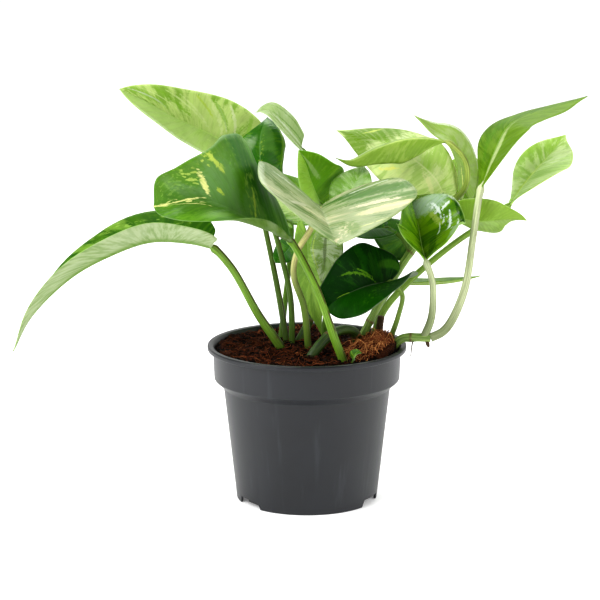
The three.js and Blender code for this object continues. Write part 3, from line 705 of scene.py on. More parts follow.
def half_blade(leaf, rib, side, number, run, outward):
    """The places of one half's grid, their distance from the midrib and their lift. The number and
    the side start the margin's waves in another place on each leaf and half."""
    half = {**leaf, **leaf.get("left_half", {})} if side < 0 else leaf
    edge = catmull(margin(half), run)
    run = run[:, None]
    along = run ** 2 * (1 - outward) + edge[:, :1] * outward
    reach = edge[:, 1:2] * outward
    wave = WAVE * np.sin(2 * math.pi * (WAVES * run + 0.37 * number + 0.2 * side))
    ripple = RIPPLE * np.sin(2 * math.pi * VEIN_PAIRS * run) * np.sin(math.pi * outward) * (1 - run)
    lift = wave * reach ** 3 * half["width"] / WAVE_WIDTH + ripple
    return on_blade(rib, half, side, along, reach), reach * half["width"], lift


def blade(leaf, number):
    """The blade's closed skin as a part: upper side, underside and margin."""
    rows, columns = FINE_GRID if leaf["width"] > LARGE_LEAF else PLAIN_GRID
    run = np.linspace(0, 1, rows + 1)
    outward = np.linspace(0, 1, columns + 1) ** CROWDING
    rib = rib_frame(leaf)
    halves = {side: half_blade(leaf, rib, side, number, run, outward) for side in (1, -1)}
    ids, layout, found = {}, [], []

    def vertex(row, column, side):
        middle = column == 0 or row in (0, rows)
        key = (row, 0, 1) if middle else (row, column, side)
        if key not in ids:
            ids[key] = len(found)
            found.append([values[key[:2]] for values in halves[key[2]]])
            layout.append((run[row], 0.5 if middle else 0.5 + 0.5 * side * outward[column]))
        return ids[key]

    faces = []
    for side in (1, -1):
        for row in range(rows):
            for column in range(columns):
                corners = [vertex(row, column, side), vertex(row, column + 1, side),
                           vertex(row + 1, column + 1, side), vertex(row + 1, column, side)]
                corners = list(dict.fromkeys(corners if side > 0 else reversed(corners)))
                if len(corners) > 2:
                    faces.append(tuple(corners))
    rim = [vertex(row, columns, 1) for row in range(rows)]
    rim += [vertex(row, columns, -1) for row in range(rows, 0, -1)]
    points, from_rib, lifts = (np.array(values) for values in zip(*found))
    share_along, across = np.array(layout).T
    normals = normals_of(points, faces)
    near_rib = np.exp(-(from_rib / RIB_WIDTH) ** 2) * (1 - share_along) ** 0.5
    near_edge = (np.abs(across - 0.5) * 2) ** 4
    half_depth = (BLADE_THICKNESS + (MARGIN_THICKNESS - BLADE_THICKNESS) * near_edge) / 2
    upper = points + normals * (half_depth + lifts - GROOVE_DEPTH * near_rib)[:, None]
    lower = points - normals * (half_depth - lifts + KEEL_HEIGHT * near_rib)[:, None]
    count = len(points)
    skin = faces + [tuple(i + count for i in reversed(face)) for face in faces]
    for first, second in zip(rim, rim[1:] + rim[:1]):
        skin.append((first, first + count, second + count, second))
    under = [0.0] * count + [1.0] * count
    return np.concatenate([upper, lower]).tolist(), skin, layout * 2, 0, {"under": under}


def stalk_swell(along, length):
    """Wide at the foot, slim in the middle and swollen again just under the blade."""
    to_blade = (1 - along) * length
    knee = np.exp(-(to_blade - 4) ** 2 / 9)
    closing = np.clip(to_blade / 5, 0.2, 1)
    return (1.12 - 0.24 * ease(np.clip(along * 1.4, 0, 1)) + 0.2 * knee) * closing


def leaf_piece(number, name, leaf):
    """A blade and its stalk, whose channel opens to the front."""
    radius = leaf.get("radius", STALK_RADIUS)
    face = np.array(leaf["face"], float)
    notch, following = (np.array(place, float) for place in leaf["rib"][:2])
    end = notch - unit(face) * radius * SUNK_STALKS.get(name, 0)
    path = leaf["stalk"] + [end, end + INTO_BLADE * (following - notch)]
    if "on" not in leaf:
        path = rooted(path)
    stalk = tube(path, radius, np.array([0, -1, 0.2]) - 0.2 * face, shape=stalk_swell, hollow=0.16)
    parts = [blade(leaf, number), (*stalk, 1, {"under": 0.0})]
    made = joined(name + "_dressed", parts, [leaf_paint(name, LOOKS[name]), stalk_paint(name)])
    keep(made, "leaf_" + leaf["tone"], name)


# ---- Vines, stub and root -----------------------------------------------------------------------


def vine_swell(along, length):
    """A vine swells a little at each joint where a leaf or a scar sits."""
    from_joint = (along * length + JOINT_SHIFT) % JOINT_SPACING - JOINT_SPACING / 2
    return 1 + 0.1 * np.exp(-(from_joint / 2.2) ** 2) + 0.012 * np.sin(0.9 * along * length)


def root_taper(along, length):
    return 1 - 0.55 * along


def nub_end(along, length):
    return np.sqrt(np.clip(1 - along ** 3, 0.02, 1))


def ragged_cut(along, length):
    return 1 + 0.06 * np.sin(3.1 * along * length) - 0.12 * along


def vine_piece(name, vine, materials):
    stem = tube(rooted(vine["path"]), vine["radius"], (0, -1, 0.1), 20, 1.0, vine_swell, 0.05)
    parts = [(*stem, 0, {})]
    if name == "vine_over_rim":
        root = tube(AERIAL_ROOT["path"], AERIAL_ROOT["radius"], (0, 0, 1), 8, 0.8, root_taper)
        nub = tube(NUB["path"], NUB["radius"], (0, 0, 1), 12, 0.4, nub_end)
        parts.extend([(*root, 1, {}), (*nub, 1, {})])
    keep(joined(name + "_dressed", parts, materials), "vine", name)


def stub_piece(material):
    path = rooted(CUT_STUB["path"])
    points, faces, layout = tube(path, CUT_STUB["radius"], (0, -1, 0), 18, 0.8, ragged_cut)
    keep(piece("cut_stub_dressed", points, faces, [material], layout), "bark", "cut_stub")


# ---- Pot ----------------------------------------------------------------------------------------


def rounded(profile, radius):
    """The profile with each of its corners turned into a short curve."""
    found = [profile[0]]
    for corners in zip(profile, profile[1:], profile[2:]):
        before, corner, after = (np.array(place, float) for place in corners)
        back, on = before - corner, after - corner
        cut = min(radius, 0.45 * np.linalg.norm(back), 0.45 * np.linalg.norm(on))
        start, end = corner + cut * unit(back), corner + cut * unit(on)
        for share in np.linspace(0, 1, ROUNDING_STEPS):
            left = 1 - share
            found.append(tuple(left ** 2 * start + 2 * share * left * corner + share ** 2 * end))
    return found + [profile[-1]]


def ring_points(radius, z, sides, shift=0.0):
    """Points round the upright axis, turned on by a share of one side."""
    angles = [2 * math.pi * (side + shift) / sides for side in range(sides)]
    return [(radius * math.cos(angle), radius * math.sin(angle), z) for angle in angles]


def turned(profile, sides):
    """A closed body turned about the upright axis, from a profile that starts and ends on it."""
    points, faces = [(0, 0, profile[0][1]), (0, 0, profile[-1][1])], []
    rings = profile[1:-1]
    for radius, z in rings:
        points.extend(ring_points(radius, z, sides))

    def at(ring, side):
        return 2 + ring * sides + side % sides

    last = len(rings) - 1
    for side in range(sides):
        faces.append((0, at(0, side + 1), at(0, side)))
        faces.append((1, at(last, side), at(last, side + 1)))
        for ring in range(last):
            faces.append((at(ring, side), at(ring, side + 1), at(ring + 1, side + 1), at(ring + 1, side)))
    return points, faces


def body_radius(z):
    return BODY_FOOT + (BODY_TOP - BODY_FOOT) * z / SHOULDER


def pot_profile():
    floor_top = FLOOR + FLOOR_THICKNESS
    band_at_foot = BAND_RADIUS - BAND_DRAFT
    return [
        (0, FLOOR), (body_radius(FLOOR) - WALL, FLOOR), (BODY_FOOT - WALL, 0), (BODY_FOOT, 0),
        (BODY_TOP, SHOULDER), (band_at_foot - EDGE, BAND_FOOT - EDGE), (band_at_foot, BAND_FOOT),
        (BAND_RADIUS, POT_HEIGHT - LIP), (RIM_RADIUS, POT_HEIGHT - LIP), (RIM_RADIUS, POT_HEIGHT),
        (RIM_RADIUS - LIP, POT_HEIGHT), (BAND_RADIUS - WALL, POT_HEIGHT - LIP),
        (band_at_foot - WALL, BAND_FOOT - EDGE), (BODY_TOP - WALL, SHOULDER - EDGE),
        (body_radius(floor_top) - WALL, floor_top), (0, floor_top),
    ]


def block_outline(foot, top, low, high):
    """A block seen from the front: its width at the foot and at the top, and its two heights."""
    return [(-foot / 2, low), (foot / 2, low), (top / 2, high), (-top / 2, high)]


def notch_cutter():
    """The blocks cut out of the standing ring and the drain slots inside them, as one mesh."""
    notch = block_outline(NOTCH_FOOT, NOTCH_TOP, -1, FLOOR)
    slot = block_outline(SLOT_WIDTH, SLOT_WIDTH, FLOOR - 2 * FLOOR_THICKNESS, FLOOR + 3 * FLOOR_THICKNESS)
    blocks = [(BODY_FOOT, notch, NOTCH_DEPTH / 2), (BODY_FOOT - SLOT_DEPTH, slot, SLOT_DEPTH / 2)]
    points, faces = [], []
    for angle in NOTCH_ANGLES:
        spin = Matrix.Rotation(math.radians(angle), 3, "Z")
        for radius, outline, reach in blocks:
            start = len(points)
            for y in (-reach, reach):
                points.extend([tuple(spin @ Vector((x, y - radius, z))) for x, z in outline])
            walls = [(k, k + 4, (k + 1) % 4 + 4, (k + 1) % 4) for k in range(4)]
            for corners in [(0, 1, 2, 3), (7, 6, 5, 4)] + walls:
                faces.append(tuple(start + i for i in corners))
    return points, faces


def pot_piece():
    points, faces = turned(rounded(pot_profile(), EDGE), POT_SIDES)
    pot = piece("pot_moulded", points, faces, [pot_paint()])
    cutter = piece("notch_cutter", *notch_cutter(), [])
    cut = pot.modifiers.new("feet", "BOOLEAN")
    cut.object, cut.operation, cut.solver = cutter, "DIFFERENCE", "EXACT"
    bpy.context.view_layer.update()
    shown = bpy.data.meshes.new_from_object(pot.evaluated_get(bpy.context.evaluated_depsgraph_get()))
    pot.modifiers.clear()
    pot.data = shown
    bpy.data.objects.remove(cutter)
    shown.polygons.foreach_set("use_smooth", [True] * len(shown.polygons))
    shown.set_sharp_from_angle(angle=math.radians(SHARP_FROM))
    keep(pot, "pot", "pot")


# ---- Soil ---------------------------------------------------------------------------------------


def lumps(x, y, height, layer, pitch, roughness):
    """A rough surface about 0, with lumps of about 1 / pitch millimetres."""
    return height * fractal(Vector((x, y, layer)) * pitch, roughness, 2.0, 3)


def soil_height(x, y):
    swell = MOUND * math.exp(-(x * x + y * y) / MOUND_REACH ** 2)
    from_heap = [(place - at) / reach for place, at, reach in zip((x, y), HEAP_AT, HEAP_REACH)]
    heap = HEAP_HEIGHT * math.exp(-from_heap[0] ** 2 - from_heap[1] ** 2)
    at_wall = WALL_RISE * (math.hypot(x, y) / SOIL_RADIUS) ** 8
    smooth = SOIL_LEVEL + swell + heap * BARE_HEAP + at_wall
    return smooth + lumps(x, y, *CLODS) + lumps(x, y, *GRAINS)


def soil_body(material):
    """The soil down to the pot's floor, with a crumbly top."""
    floor_top = FLOOR + FLOOR_THICKNESS + 0.3
    points, faces = [(0, 0, soil_height(0, 0))], []
    for ring in range(1, SOIL_RINGS + 1):
        level = ring_points(SOIL_RADIUS * ring / SOIL_RINGS, 0, SOIL_SIDES, 0.5 * (ring % 2))
        points.extend([(x, y, soil_height(x, y)) for x, y, _ in level])
    walls = [(SOIL_RADIUS - 0.2, BAND_FOOT), (BODY_TOP - WALL - 0.5, SHOULDER - EDGE),
             (body_radius(floor_top) - WALL - 0.5, floor_top)]
    for radius, z in walls:
        points.extend(ring_points(radius, z, SOIL_SIDES, 0.5 * (SOIL_RINGS % 2)))

    def at(ring, side):
        return 1 + (ring - 1) * SOIL_SIDES + side % SOIL_SIDES

    last = SOIL_RINGS + len(walls)
    for side in range(SOIL_SIDES):
        faces.append((0, at(1, side), at(1, side + 1)))
        for ring in range(1, last):
            faces.append((at(ring, side), at(ring + 1, side), at(ring + 1, side + 1), at(ring, side + 1)))
    points.append((0, 0, floor_top))
    for side in range(SOIL_SIDES):
        faces.append((len(points) - 1, at(last, side + 1), at(last, side)))
    keep(piece("soil_bed", points, faces, [material]), "soil", "soil")


def scattered(rng, radius):
    """A place on the soil, as likely anywhere within the radius."""
    r, angle = radius * math.sqrt(rng.random()), rng.uniform(0, 2 * math.pi)
    return r * math.cos(angle), r * math.sin(angle)


def strand(rng, x, y, length, lift):
    """The path of one fibre: bent, lying on the soil, or standing out where lift is more."""
    heading = rng.uniform(0, 2 * math.pi)
    bend = rng.uniform(-1.6, 1.6)
    rise = rng.uniform(0.2, 1.0) * lift
    path = []
    for step in range(STRAND_STEPS + 1):
        arch = rise * math.sin(math.pi * (step / STRAND_STEPS))
        path.append((x, y, soil_height(x, y) + 0.35 + arch + rng.uniform(-0.2, 0.4)))
        x += length / STRAND_STEPS * math.cos(heading)
        y += length / STRAND_STEPS * math.sin(heading)
        heading += bend / STRAND_STEPS + rng.uniform(-0.3, 0.3)
    return path


def fibres_piece(material):
    """Coir fibres over the soil, many of them in the loose heap at the right front."""
    rng = random.Random(41)
    parts = []
    for number in range(FIBRES):
        if number < FIBRES * HEAP_SHARE:
            x, y = HEAP_AT[0] + rng.gauss(-2, 7), HEAP_AT[1] + rng.gauss(-3, 10)
            lift, tint = rng.uniform(0.5, 5.5), rng.uniform(0.3, 1.0)
        else:
            x, y = scattered(rng, SOIL_RADIUS)
            lift, tint = rng.uniform(0.2, 1.8), rng.uniform(0.0, 0.75) ** 1.5
        length, thickness = rng.uniform(4, 15), rng.uniform(0.09, 0.24)
        path = strand(rng, x, y, length, lift)
        if max(math.hypot(*place[:2]) for place in path) <= SOIL_RADIUS - 0.6:
            thread = tube(path, thickness, (0, 0, 1), THREAD_SIDES, length / 7)
            parts.append((*thread, 0, {"tint": tint}))
    keep(joined("soil_fibres", parts, [material]), "soil")


def crumbs_piece(material):
    """Small clods, bark and pale grains strewn over the soil."""
    rng = random.Random(7)
    pebble = bmesh.new()
    bmesh.ops.create_icosphere(pebble, subdivisions=1, radius=1)
    corners = [tuple(v.co) for v in pebble.verts]
    faces = [tuple(v.index for v in f.verts) for f in pebble.faces]
    pebble.free()
    parts = []
    for _ in range(CRUMBS):
        x, y = scattered(rng, SOIL_RADIUS - 2)
        size = rng.uniform(0.4, 1.0) * rng.choice((0.7, 1.0, 1.9))
        stretch = [size * rng.uniform(*limits) for limits in ((0.6, 1.3), (0.5, 1.0), (0.35, 0.8))]
        turn = Matrix.Rotation(rng.uniform(0, 6.3), 3, "Z")
        spin = turn @ Matrix.Rotation(rng.uniform(-0.6, 0.6), 3, "X")
        centre = Vector((x, y, soil_height(x, y) + 0.25 * size))
        points = []
        for corner in corners:
            rough = 1 + rng.uniform(-0.22, 0.22)
            points.append(tuple(centre + spin @ Vector([c * s * rough for c, s in zip(corner, stretch)])))
        tint = rng.uniform(0, 0.4) if rng.random() < 0.9 else rng.uniform(0.6, 0.9)
        parts.append((points, faces, [(0, 0)] * len(points), 0, {"tint": tint}))
    keep(joined("soil_crumbs", parts, [material]), "soil")


# ---- Leaf colours -------------------------------------------------------------------------------

# Greens of this plant and the tones of its streaks, as seen on a screen, from 0 to 255.
BOTTLE, MOSS, GRASS = (40, 104, 0), (68, 132, 6), (110, 162, 6)
LIME, APPLE, SHEEN = (148, 190, 50), (168, 206, 90), (98, 146, 66)
MIST, SILVER, CREAM = (156, 180, 122), (206, 216, 186), (244, 240, 204)
STRAW, BUTTER = (196, 216, 90), (240, 240, 150)

# ground is a leaf's own green, halves the tones of its left and right half with their strength,
# sheen a painted sheen, a second and mostly paler green in soft bands along the veins, and streaks
# lists (tone, share, strength). dashes and flecks list (tone, start, end, width, strength): a dash is
# one ragged mark and flecks are many small ones, and their places are (along, out from the midrib),
# left of it negative. Some halves, dashes and flecks are painted sheen, highlights and shade, as
# noted at each leaf.
# soften_left weakens the streaks on the left half. Below the leaf, under, under_streak and keel are
# its tones. gloss is the roughness of the skin, shine its mirror light, relief the strength of its
# bumps, glow the light that comes through, and rib how pale the midrib is.
LOOKS = {
    "leaf_left_low": {
        "ground": GRASS, "sheen": (LIME, 0.5, 0.3), "streaks": [(APPLE, 0.2, 0.4)],
        # the dark right half of halves is painted shade over the far half of the leaf
        "halves": [((150, 188, 84), 0.5), ((34, 88, 0), 0.97)], "shine": 0.15, "under": (178, 194, 146),
        "under_streak": (96, 140, 34), "keel": (104, 146, 36),
        "flecks": [(APPLE, (0.5, 0.7), (0.54, 0.9), 0.03, 0.5)],
    },
    "leaf_left_high": {
        # the pale grey-green left half of halves is a painted sheen on the half that turns up
        "ground": (148, 184, 76), "halves": [((172, 196, 124), 0.85), ((146, 184, 72), 0.3)],
        "sheen": (APPLE, 0.5, 0.5), "streaks": [((214, 228, 150), 0.45, 0.85)], "soften_left": 0.85,
        "dashes": [
            ((220, 230, 166), (0.74, 0.9), (0.58, 0.2), 0.008, 0.8),
            ((220, 230, 166), (0.58, 0.92), (0.47, 0.1), 0.012, 0.9),
            ((226, 230, 188), (0.5, 0.92), (0.4, 0.2), 0.008, 0.85),
            (SILVER, (0.93, 0.9), (0.78, 0.3), 0.014, 0.8),
            ((220, 230, 166), (0.68, 0.8), (0.55, 0.1), 0.008, 0.8),
            (STRAW, (0.63, 0.95), (0.54, 0.4), 0.008, 0.8),
            ((226, 230, 188), (0.54, 0.8), (0.45, 0.2), 0.006, 0.9),
            (APPLE, (0.42, 0.95), (0.32, 0.2), 0.012, 0.8),
            ((220, 230, 166), (0.84, 0.85), (0.7, 0.3), 0.006, 0.7),
            ((136, 182, 50), (0.78, 0.9), (0.64, 0.2), 0.014, 0.7),
            ((136, 182, 50), (0.56, 0.9), (0.46, 0.3), 0.012, 0.7),
            (SILVER, (0.8, -0.95), (0.4, -0.98), 0.03, 0.6),
        ],
    },
    "leaf_front_left": {
        "ground": (80, 134, 14), "sheen": ((120, 158, 94), 0.55, 0.8),
        "streaks": [((120, 172, 44), 0.2, 0.5)], "under": (92, 124, 40), "under_streak": (64, 102, 12),
        "rib": 0.3,
        "dashes": [
            ((92, 138, 22), (0.66, 1.0), (0.9, 0.75), 0.13, 0.5),
            ((60, 108, 8), (0.9, 0.4), (0.8, -0.6), 0.1, 0.6),
            # the next two grey-green dashes are painted sheen
            ((112, 156, 84), (0.7, 0.7), (0.78, 0.0), 0.09, 0.8),
            ((112, 156, 84), (0.56, 0.3), (0.62, -0.1), 0.08, 0.6),
            ((34, 104, 4), (0.56, 0.95), (0.4, 0.1), 0.09, 0.85),
            ((26, 92, 2), (0.34, 0.8), (0.2, 0.2), 0.12, 0.7),
            ((64, 138, 8), (0.44, 0.9), (0.34, 0.3), 0.05, 0.6),
            (BUTTER, (0.775, 0.72), (0.818, 0.22), 0.011, 1.0),
            (STRAW, (0.7, 0.92), (0.69, 0.62), 0.009, 0.95),
            (STRAW, (0.757, 0.38), (0.752, 0.26), 0.012, 0.95),
            (STRAW, (0.533, 0.42), (0.588, 0.06), 0.009, 1.0),
            (BUTTER, (0.96, 0.06), (0.85, 0.1), 0.013, 1.0),
            (BUTTER, (0.96, -0.16), (0.8, -0.28), 0.008, 0.95),
            (BUTTER, (1.0, 0.3), (0.97, -0.3), 0.03, 0.9),
        ],
        "flecks": [
            (STRAW, (0.72, 0.98), (0.7, 0.72), 0.04, 0.9), (STRAW, (0.79, 0.9), (0.82, 0.5), 0.03, 0.7),
            (APPLE, (0.86, 0.95), (0.9, 0.4), 0.09, 0.25),
            (BUTTER, (0.97, 0.2), (0.86, -0.1), 0.03, 0.9), (APPLE, (0.52, 0.6), (0.6, 0.0), 0.05, 0.5),
        ],
    },
    "leaf_behind_left": {
        "ground": (46, 106, 8), "sheen": ((84, 132, 46), 0.5, 0.6), "streaks": [(GRASS, 0.1, 0.4)],
        "gloss": 0.26, "rib": 0.5,
        "dashes": [
            # the next two are a painted highlight and a painted sheen band
            ((120, 152, 96), (0.6, -0.75), (0.72, -0.3), 0.07, 0.7),
            (SHEEN, (0.85, 0.15), (0.55, 0.35), 0.14, 0.75),
            ((118, 164, 28), (0.8, 0.98), (0.4, 0.95), 0.07, 1.0),
            ((24, 86, 2), (0.6, 0.05), (0.45, 0.6), 0.06, 0.7),
        ],
        "flecks": [(STRAW, (0.75, 0.1), (0.5, 0.0), 0.05, 0.4)],
    },
    "leaf_front_centre": {
        "ground": (104, 136, 58), "sheen": ((146, 166, 104), 0.5, 0.7), "rib": 0.2, "shine": 0.25,
        "halves": [((116, 150, 76), 0.5), ((98, 126, 52), 0.7)],
        "streaks": [
            ((186, 194, 152), 0.5, 0.75), ((226, 218, 176), 0.12, 0.6), ((70, 122, 26), 0.26, 0.6),
        ],
        "dashes": [
            ((56, 112, 16), (0.2, -0.1), (0.3, -0.65), 0.05, 0.9),
            ((72, 122, 30), (0.34, -0.3), (0.43, -0.92), 0.055, 0.9),
            (SILVER, (0.26, -0.5), (0.34, -0.98), 0.014, 0.9),
            ((240, 230, 180), (0.64, -0.45), (0.62, -0.98), 0.045, 0.85),
            ((244, 232, 196), (0.52, -0.3), (0.54, -0.8), 0.02, 0.9),
            ((86, 132, 46), (0.46, -0.2), (0.48, -0.8), 0.02, 0.8),
            ((228, 226, 158), (0.86, -0.4), (0.74, -0.95), 0.01, 0.6),
            ((124, 152, 80), (0.74, -0.2), (0.86, -0.7), 0.05, 0.8),
            ((240, 226, 190), (0.98, 0.3), (0.92, -0.3), 0.02, 0.7),
            (SILVER, (0.4, 0.98), (0.75, 0.95), 0.03, 0.6), (SILVER, (0.3, 0.3), (0.4, 0.8), 0.02, 0.7),
            ((206, 206, 176), (0.55, 0.25), (0.7, 0.6), 0.014, 0.8),
        ],
        "flecks": [((238, 226, 190), (0.78, -0.3), (0.92, -0.4), 0.08, 0.6)],
    },
    "leaf_centre_tall": {
        "ground": (100, 156, 6), "halves": [((160, 200, 84), 0.95), ((98, 154, 0), 0.6)],
        "sheen": (GRASS, 0.4, 0.5), "streaks": [(LIME, 0.25, 0.5)],
        # the pale dash is a painted highlight
        "dashes": [((190, 212, 150), (0.7, 0.3), (0.95, 0.3), 0.06, 0.5)],
    },
    "leaf_centre_pale": {
        "ground": (160, 184, 122), "sheen": (SILVER, 0.4, 0.6), "streaks": [((128, 162, 72), 0.2, 0.5)],
        "under": (192, 208, 162), "under_streak": (120, 156, 70),
        "dashes": [
            ((104, 146, 48), (0.1, 0.5), (0.9, 0.3), 0.02, 0.9),
            ((128, 162, 76), (0.1, -0.3), (0.9, -0.2), 0.016, 0.8),
            (SILVER, (0.15, 0.2), (0.9, 0.12), 0.03, 0.8),
            ((120, 156, 66), (0.15, 0.85), (0.8, 0.8), 0.02, 0.8),
            ((120, 156, 66), (0.15, -0.8), (0.8, -0.7), 0.02, 0.8),
            (CREAM, (0.2, -0.5), (0.85, -0.4), 0.02, 0.7),
        ],
    },
    "leaf_centre_left": {"ground": GRASS, "sheen": (APPLE, 0.5, 0.5), "streaks": [(LIME, 0.3, 0.5)]},
    "leaf_centre_dark": {
        "ground": (112, 154, 60), "sheen": ((172, 198, 136), 0.7, 0.9), "streaks": [(GRASS, 0.2, 0.5)],
        # the grey-green dash is painted sheen
        "dashes": [((160, 188, 130), (0.4, 0.2), (0.8, 0.4), 0.1, 0.6)],
    },
    "leaf_right_pale": {
        # a pale leaf whose ground is paler still, painted light that makes up for the shade over its lower
        # part
        "ground": (208, 226, 160), "sheen": ((222, 232, 190), 0.55, 0.8),
        "streaks": [((228, 240, 186), 0.45, 0.7), ((150, 194, 76), 0.25, 0.5)], "glow": 0.5,
        "shine": 0.2, "halves": [((212, 230, 166), 0.5), ((172, 208, 100), 0.8)],
        "dashes": [
            # the next three dark dashes are painted shade over the top, where the light falls strongest
            ((112, 152, 30), (0.72, 0.9), (0.95, 0.0), 0.14, 0.95),
            ((112, 152, 30), (1.0, 0.2), (0.84, -0.5), 0.1, 0.92),
            ((118, 158, 34), (0.92, -0.4), (0.76, -1.0), 0.1, 0.9),
            ((206, 220, 110), (0.84, 0.5), (0.72, 0.9), 0.012, 0.9),
            (BUTTER, (0.66, -0.8), (0.62, -0.45), 0.01, 0.9),
            (CREAM, (0.5, -0.1), (0.3, -0.3), 0.03, 0.5),
            ((206, 222, 176), (0.2, -0.3), (0.35, -0.9), 0.08, 0.7),
            (CREAM, (0.1, 0.98), (0.45, 0.98), 0.03, 0.6),
        ],
        "flecks": [(BUTTER, (0.68, -0.6), (0.62, -0.4), 0.05, 0.3)],
    },
    "leaf_right_young": {
        "ground": (128, 162, 52), "sheen": ((112, 150, 30), 0.5, 0.6),
        "streaks": [((164, 190, 88), 0.35, 0.6)], "under": (150, 190, 78),
        "dashes": [
            # the silver dash is a painted highlight
            (SILVER, (0.62, 0.8), (0.86, 0.8), 0.07, 0.7), (STRAW, (0.1, 0.1), (0.9, 0.1), 0.03, 0.6),
        ],
    },
    "leaf_right_tall": {
        "ground": (100, 140, 4), "halves": [((82, 124, 0), 0.9), ((98, 134, 14), 0.88)],
        "sheen": ((114, 150, 30), 0.45, 0.5), "streaks": [((128, 162, 46), 0.3, 0.5)], "shine": 0.12,
        "dashes": [
            # a painted sheen along the midrib
            ((196, 212, 150), (0.1, 0.16), (0.62, 0.14), 0.05, 0.8),
            ((84, 138, 4), (0.3, -0.4), (0.7, -0.6), 0.05, 0.5),
        ],
    },
    "leaf_right_far": {
        "ground": (172, 206, 96), "halves": [((164, 200, 84), 0.5), ((184, 212, 118), 0.7)],
        "sheen": ((194, 218, 134), 0.5, 0.7),
        "streaks": [((142, 186, 60), 0.35, 0.6), ((222, 234, 176), 0.25, 0.6)],
        "dashes": [
            (SILVER, (0.1, -0.95), (0.5, -0.97), 0.05, 0.7),
            (STRAW, (0.2, 0.0), (0.8, 0.02), 0.03, 0.6),
        ],
    },
    "leaf_right_low": {
        "ground": (138, 172, 62), "sheen": ((122, 160, 44), 0.5, 0.6), "streaks": [(APPLE, 0.2, 0.5)],
    },
    "leaf_right_glossy": {
        "ground": (116, 160, 14), "sheen": ((146, 182, 60), 0.45, 0.8),
        "streaks": [((52, 108, 0), 0.3, 0.75)], "gloss": 0.18, "relief": 0.8, "rib": 0.9, "shine": 0.6,
        "halves": [((112, 160, 20), 0.7), ((110, 154, 10), 0.3)],
        "dashes": [
            # the next two are painted sheen
            ((172, 194, 172), (0.8, 0.1), (0.7, 0.9), 0.1, 0.95),
            ((152, 180, 130), (0.46, 0.95), (0.33, 0.9), 0.05, 0.9),
            ((14, 66, 0), (0.62, 0.96), (0.48, 0.97), 0.03, 0.9),
            ((166, 186, 84), (0.64, 0.42), (0.58, 0.5), 0.03, 0.85),
            # the next five white dashes are painted highlights
            ((236, 244, 242), (0.62, 0.9), (0.62, 0.66), 0.009, 1.0),
            ((236, 244, 242), (0.69, 0.62), (0.6, 0.58), 0.018, 0.95),
            ((226, 238, 232), (0.58, 0.78), (0.47, 0.6), 0.011, 0.95),
            ((216, 230, 218), (0.56, 0.5), (0.47, 0.4), 0.008, 0.85),
            ((226, 238, 232), (0.52, 0.86), (0.42, 0.76), 0.012, 0.9),
            ((28, 84, 0), (0.44, 0.3), (0.2, 0.3), 0.06, 0.7),
        ],
        # the white flecks are painted highlights
        "flecks": [((236, 242, 242), (0.68, 0.56), (0.56, 0.66), 0.05, 0.8)],
    },
    "leaf_low_dark": {
        "ground": (6, 54, 0), "sheen": ((22, 80, 0), 0.45, 0.8), "streaks": [((40, 100, 2), 0.14, 0.5)],
        "rib": 0.5, "shine": 0.08, "relief": 0.12, "glow": 0.1,
        "halves": [((26, 84, 0), 0.5), ((4, 46, 0), 0.3)],
        "dashes": [
            ((96, 146, 20), (0.7, 0.66), (0.5, 0.07), 0.012, 0.85),
            ((132, 176, 44), (0.87, 0.12), (0.79, 0.02), 0.012, 0.95),
            ((70, 126, 14), (0.34, 0.5), (0.12, 0.9), 0.06, 0.6),
            ((96, 148, 24), (0.6, 0.5), (0.52, 0.2), 0.01, 0.8),
        ],
        "flecks": [
            ((96, 146, 24), (0.68, 0.6), (0.5, 0.1), 0.03, 0.7),
            ((70, 126, 14), (0.6, -0.6), (0.5, -0.4), 0.1, 0.5),
        ],
    },
    "leaf_hanging_green": {
        "ground": (118, 156, 56), "sheen": (LIME, 0.5, 0.5), "streaks": [(APPLE, 0.25, 0.5)],
    },
    "leaf_hanging_grey": {
        "ground": (122, 154, 72), "sheen": (MIST, 0.6, 0.8), "streaks": [(SILVER, 0.3, 0.6)],
        "dashes": [
            (STRAW, (0.2, 0.86), (0.9, 0.86), 0.02, 0.5),
            ((96, 110, 72), (0.2, 0.1), (0.8, 0.2), 0.05, 0.7),
        ],
    },
    "leaf_small_left": {"ground": BOTTLE, "sheen": (MOSS, 0.5, 0.6), "streaks": [(GRASS, 0.2, 0.5)]},
    "leaf_right_corner": {
        "ground": (142, 172, 74), "sheen": ((172, 190, 130), 0.5, 0.7), "streaks": [(LIME, 0.3, 0.5)],
        "dashes": [
            (SILVER, (0.5, 0.95), (0.8, 0.95), 0.04, 0.8),
            (BUTTER, (0.15, -0.3), (0.45, -0.4), 0.04, 0.8),
        ],
    },
    "leaf_right_behind": {
        "ground": (138, 178, 48), "sheen": (APPLE, 0.5, 0.5), "streaks": [(SILVER, 0.2, 0.5)],
    },
    "leaf_inner_right": {
        "ground": (50, 102, 6), "sheen": (MOSS, 0.5, 0.7), "streaks": [(GRASS, 0.15, 0.4)],
    },
    "leaf_under_cream": {
        "ground": (40, 94, 6), "shine": 0.1, "sheen": (MOSS, 0.4, 0.6), "streaks": [(GRASS, 0.15, 0.4)],
    },
    "leaf_edge_on": {
        "under": (142, 176, 44), "ground": (104, 150, 14), "sheen": (GRASS, 0.5, 0.6),
        "streaks": [(LIME, 0.3, 0.5)],
    },
    "leaf_back_left": {
        "ground": GRASS, "sheen": (LIME, 0.5, 0.6), "streaks": [((196, 214, 130), 0.35, 0.7)],
    },
    "leaf_back_centre": {"ground": APPLE, "sheen": (LIME, 0.5, 0.5), "streaks": [(CREAM, 0.4, 0.7)]},
    "leaf_back_right": {"ground": MOSS, "sheen": (SHEEN, 0.5, 0.7), "streaks": [(STRAW, 0.25, 0.6)]},
    "leaf_sprout": {"ground": (58, 106, 14), "sheen": (LIME, 0.5, 0.5), "streaks": [(APPLE, 0.2, 0.4)]},
}
ASPECT = 2.2  # a leaf is this much longer than one of its halves is wide
BROAD_DASH = 0.04  # a dash wider than this has a calmer edge
FINE_VEINS = 26  # veins painted along each leaf

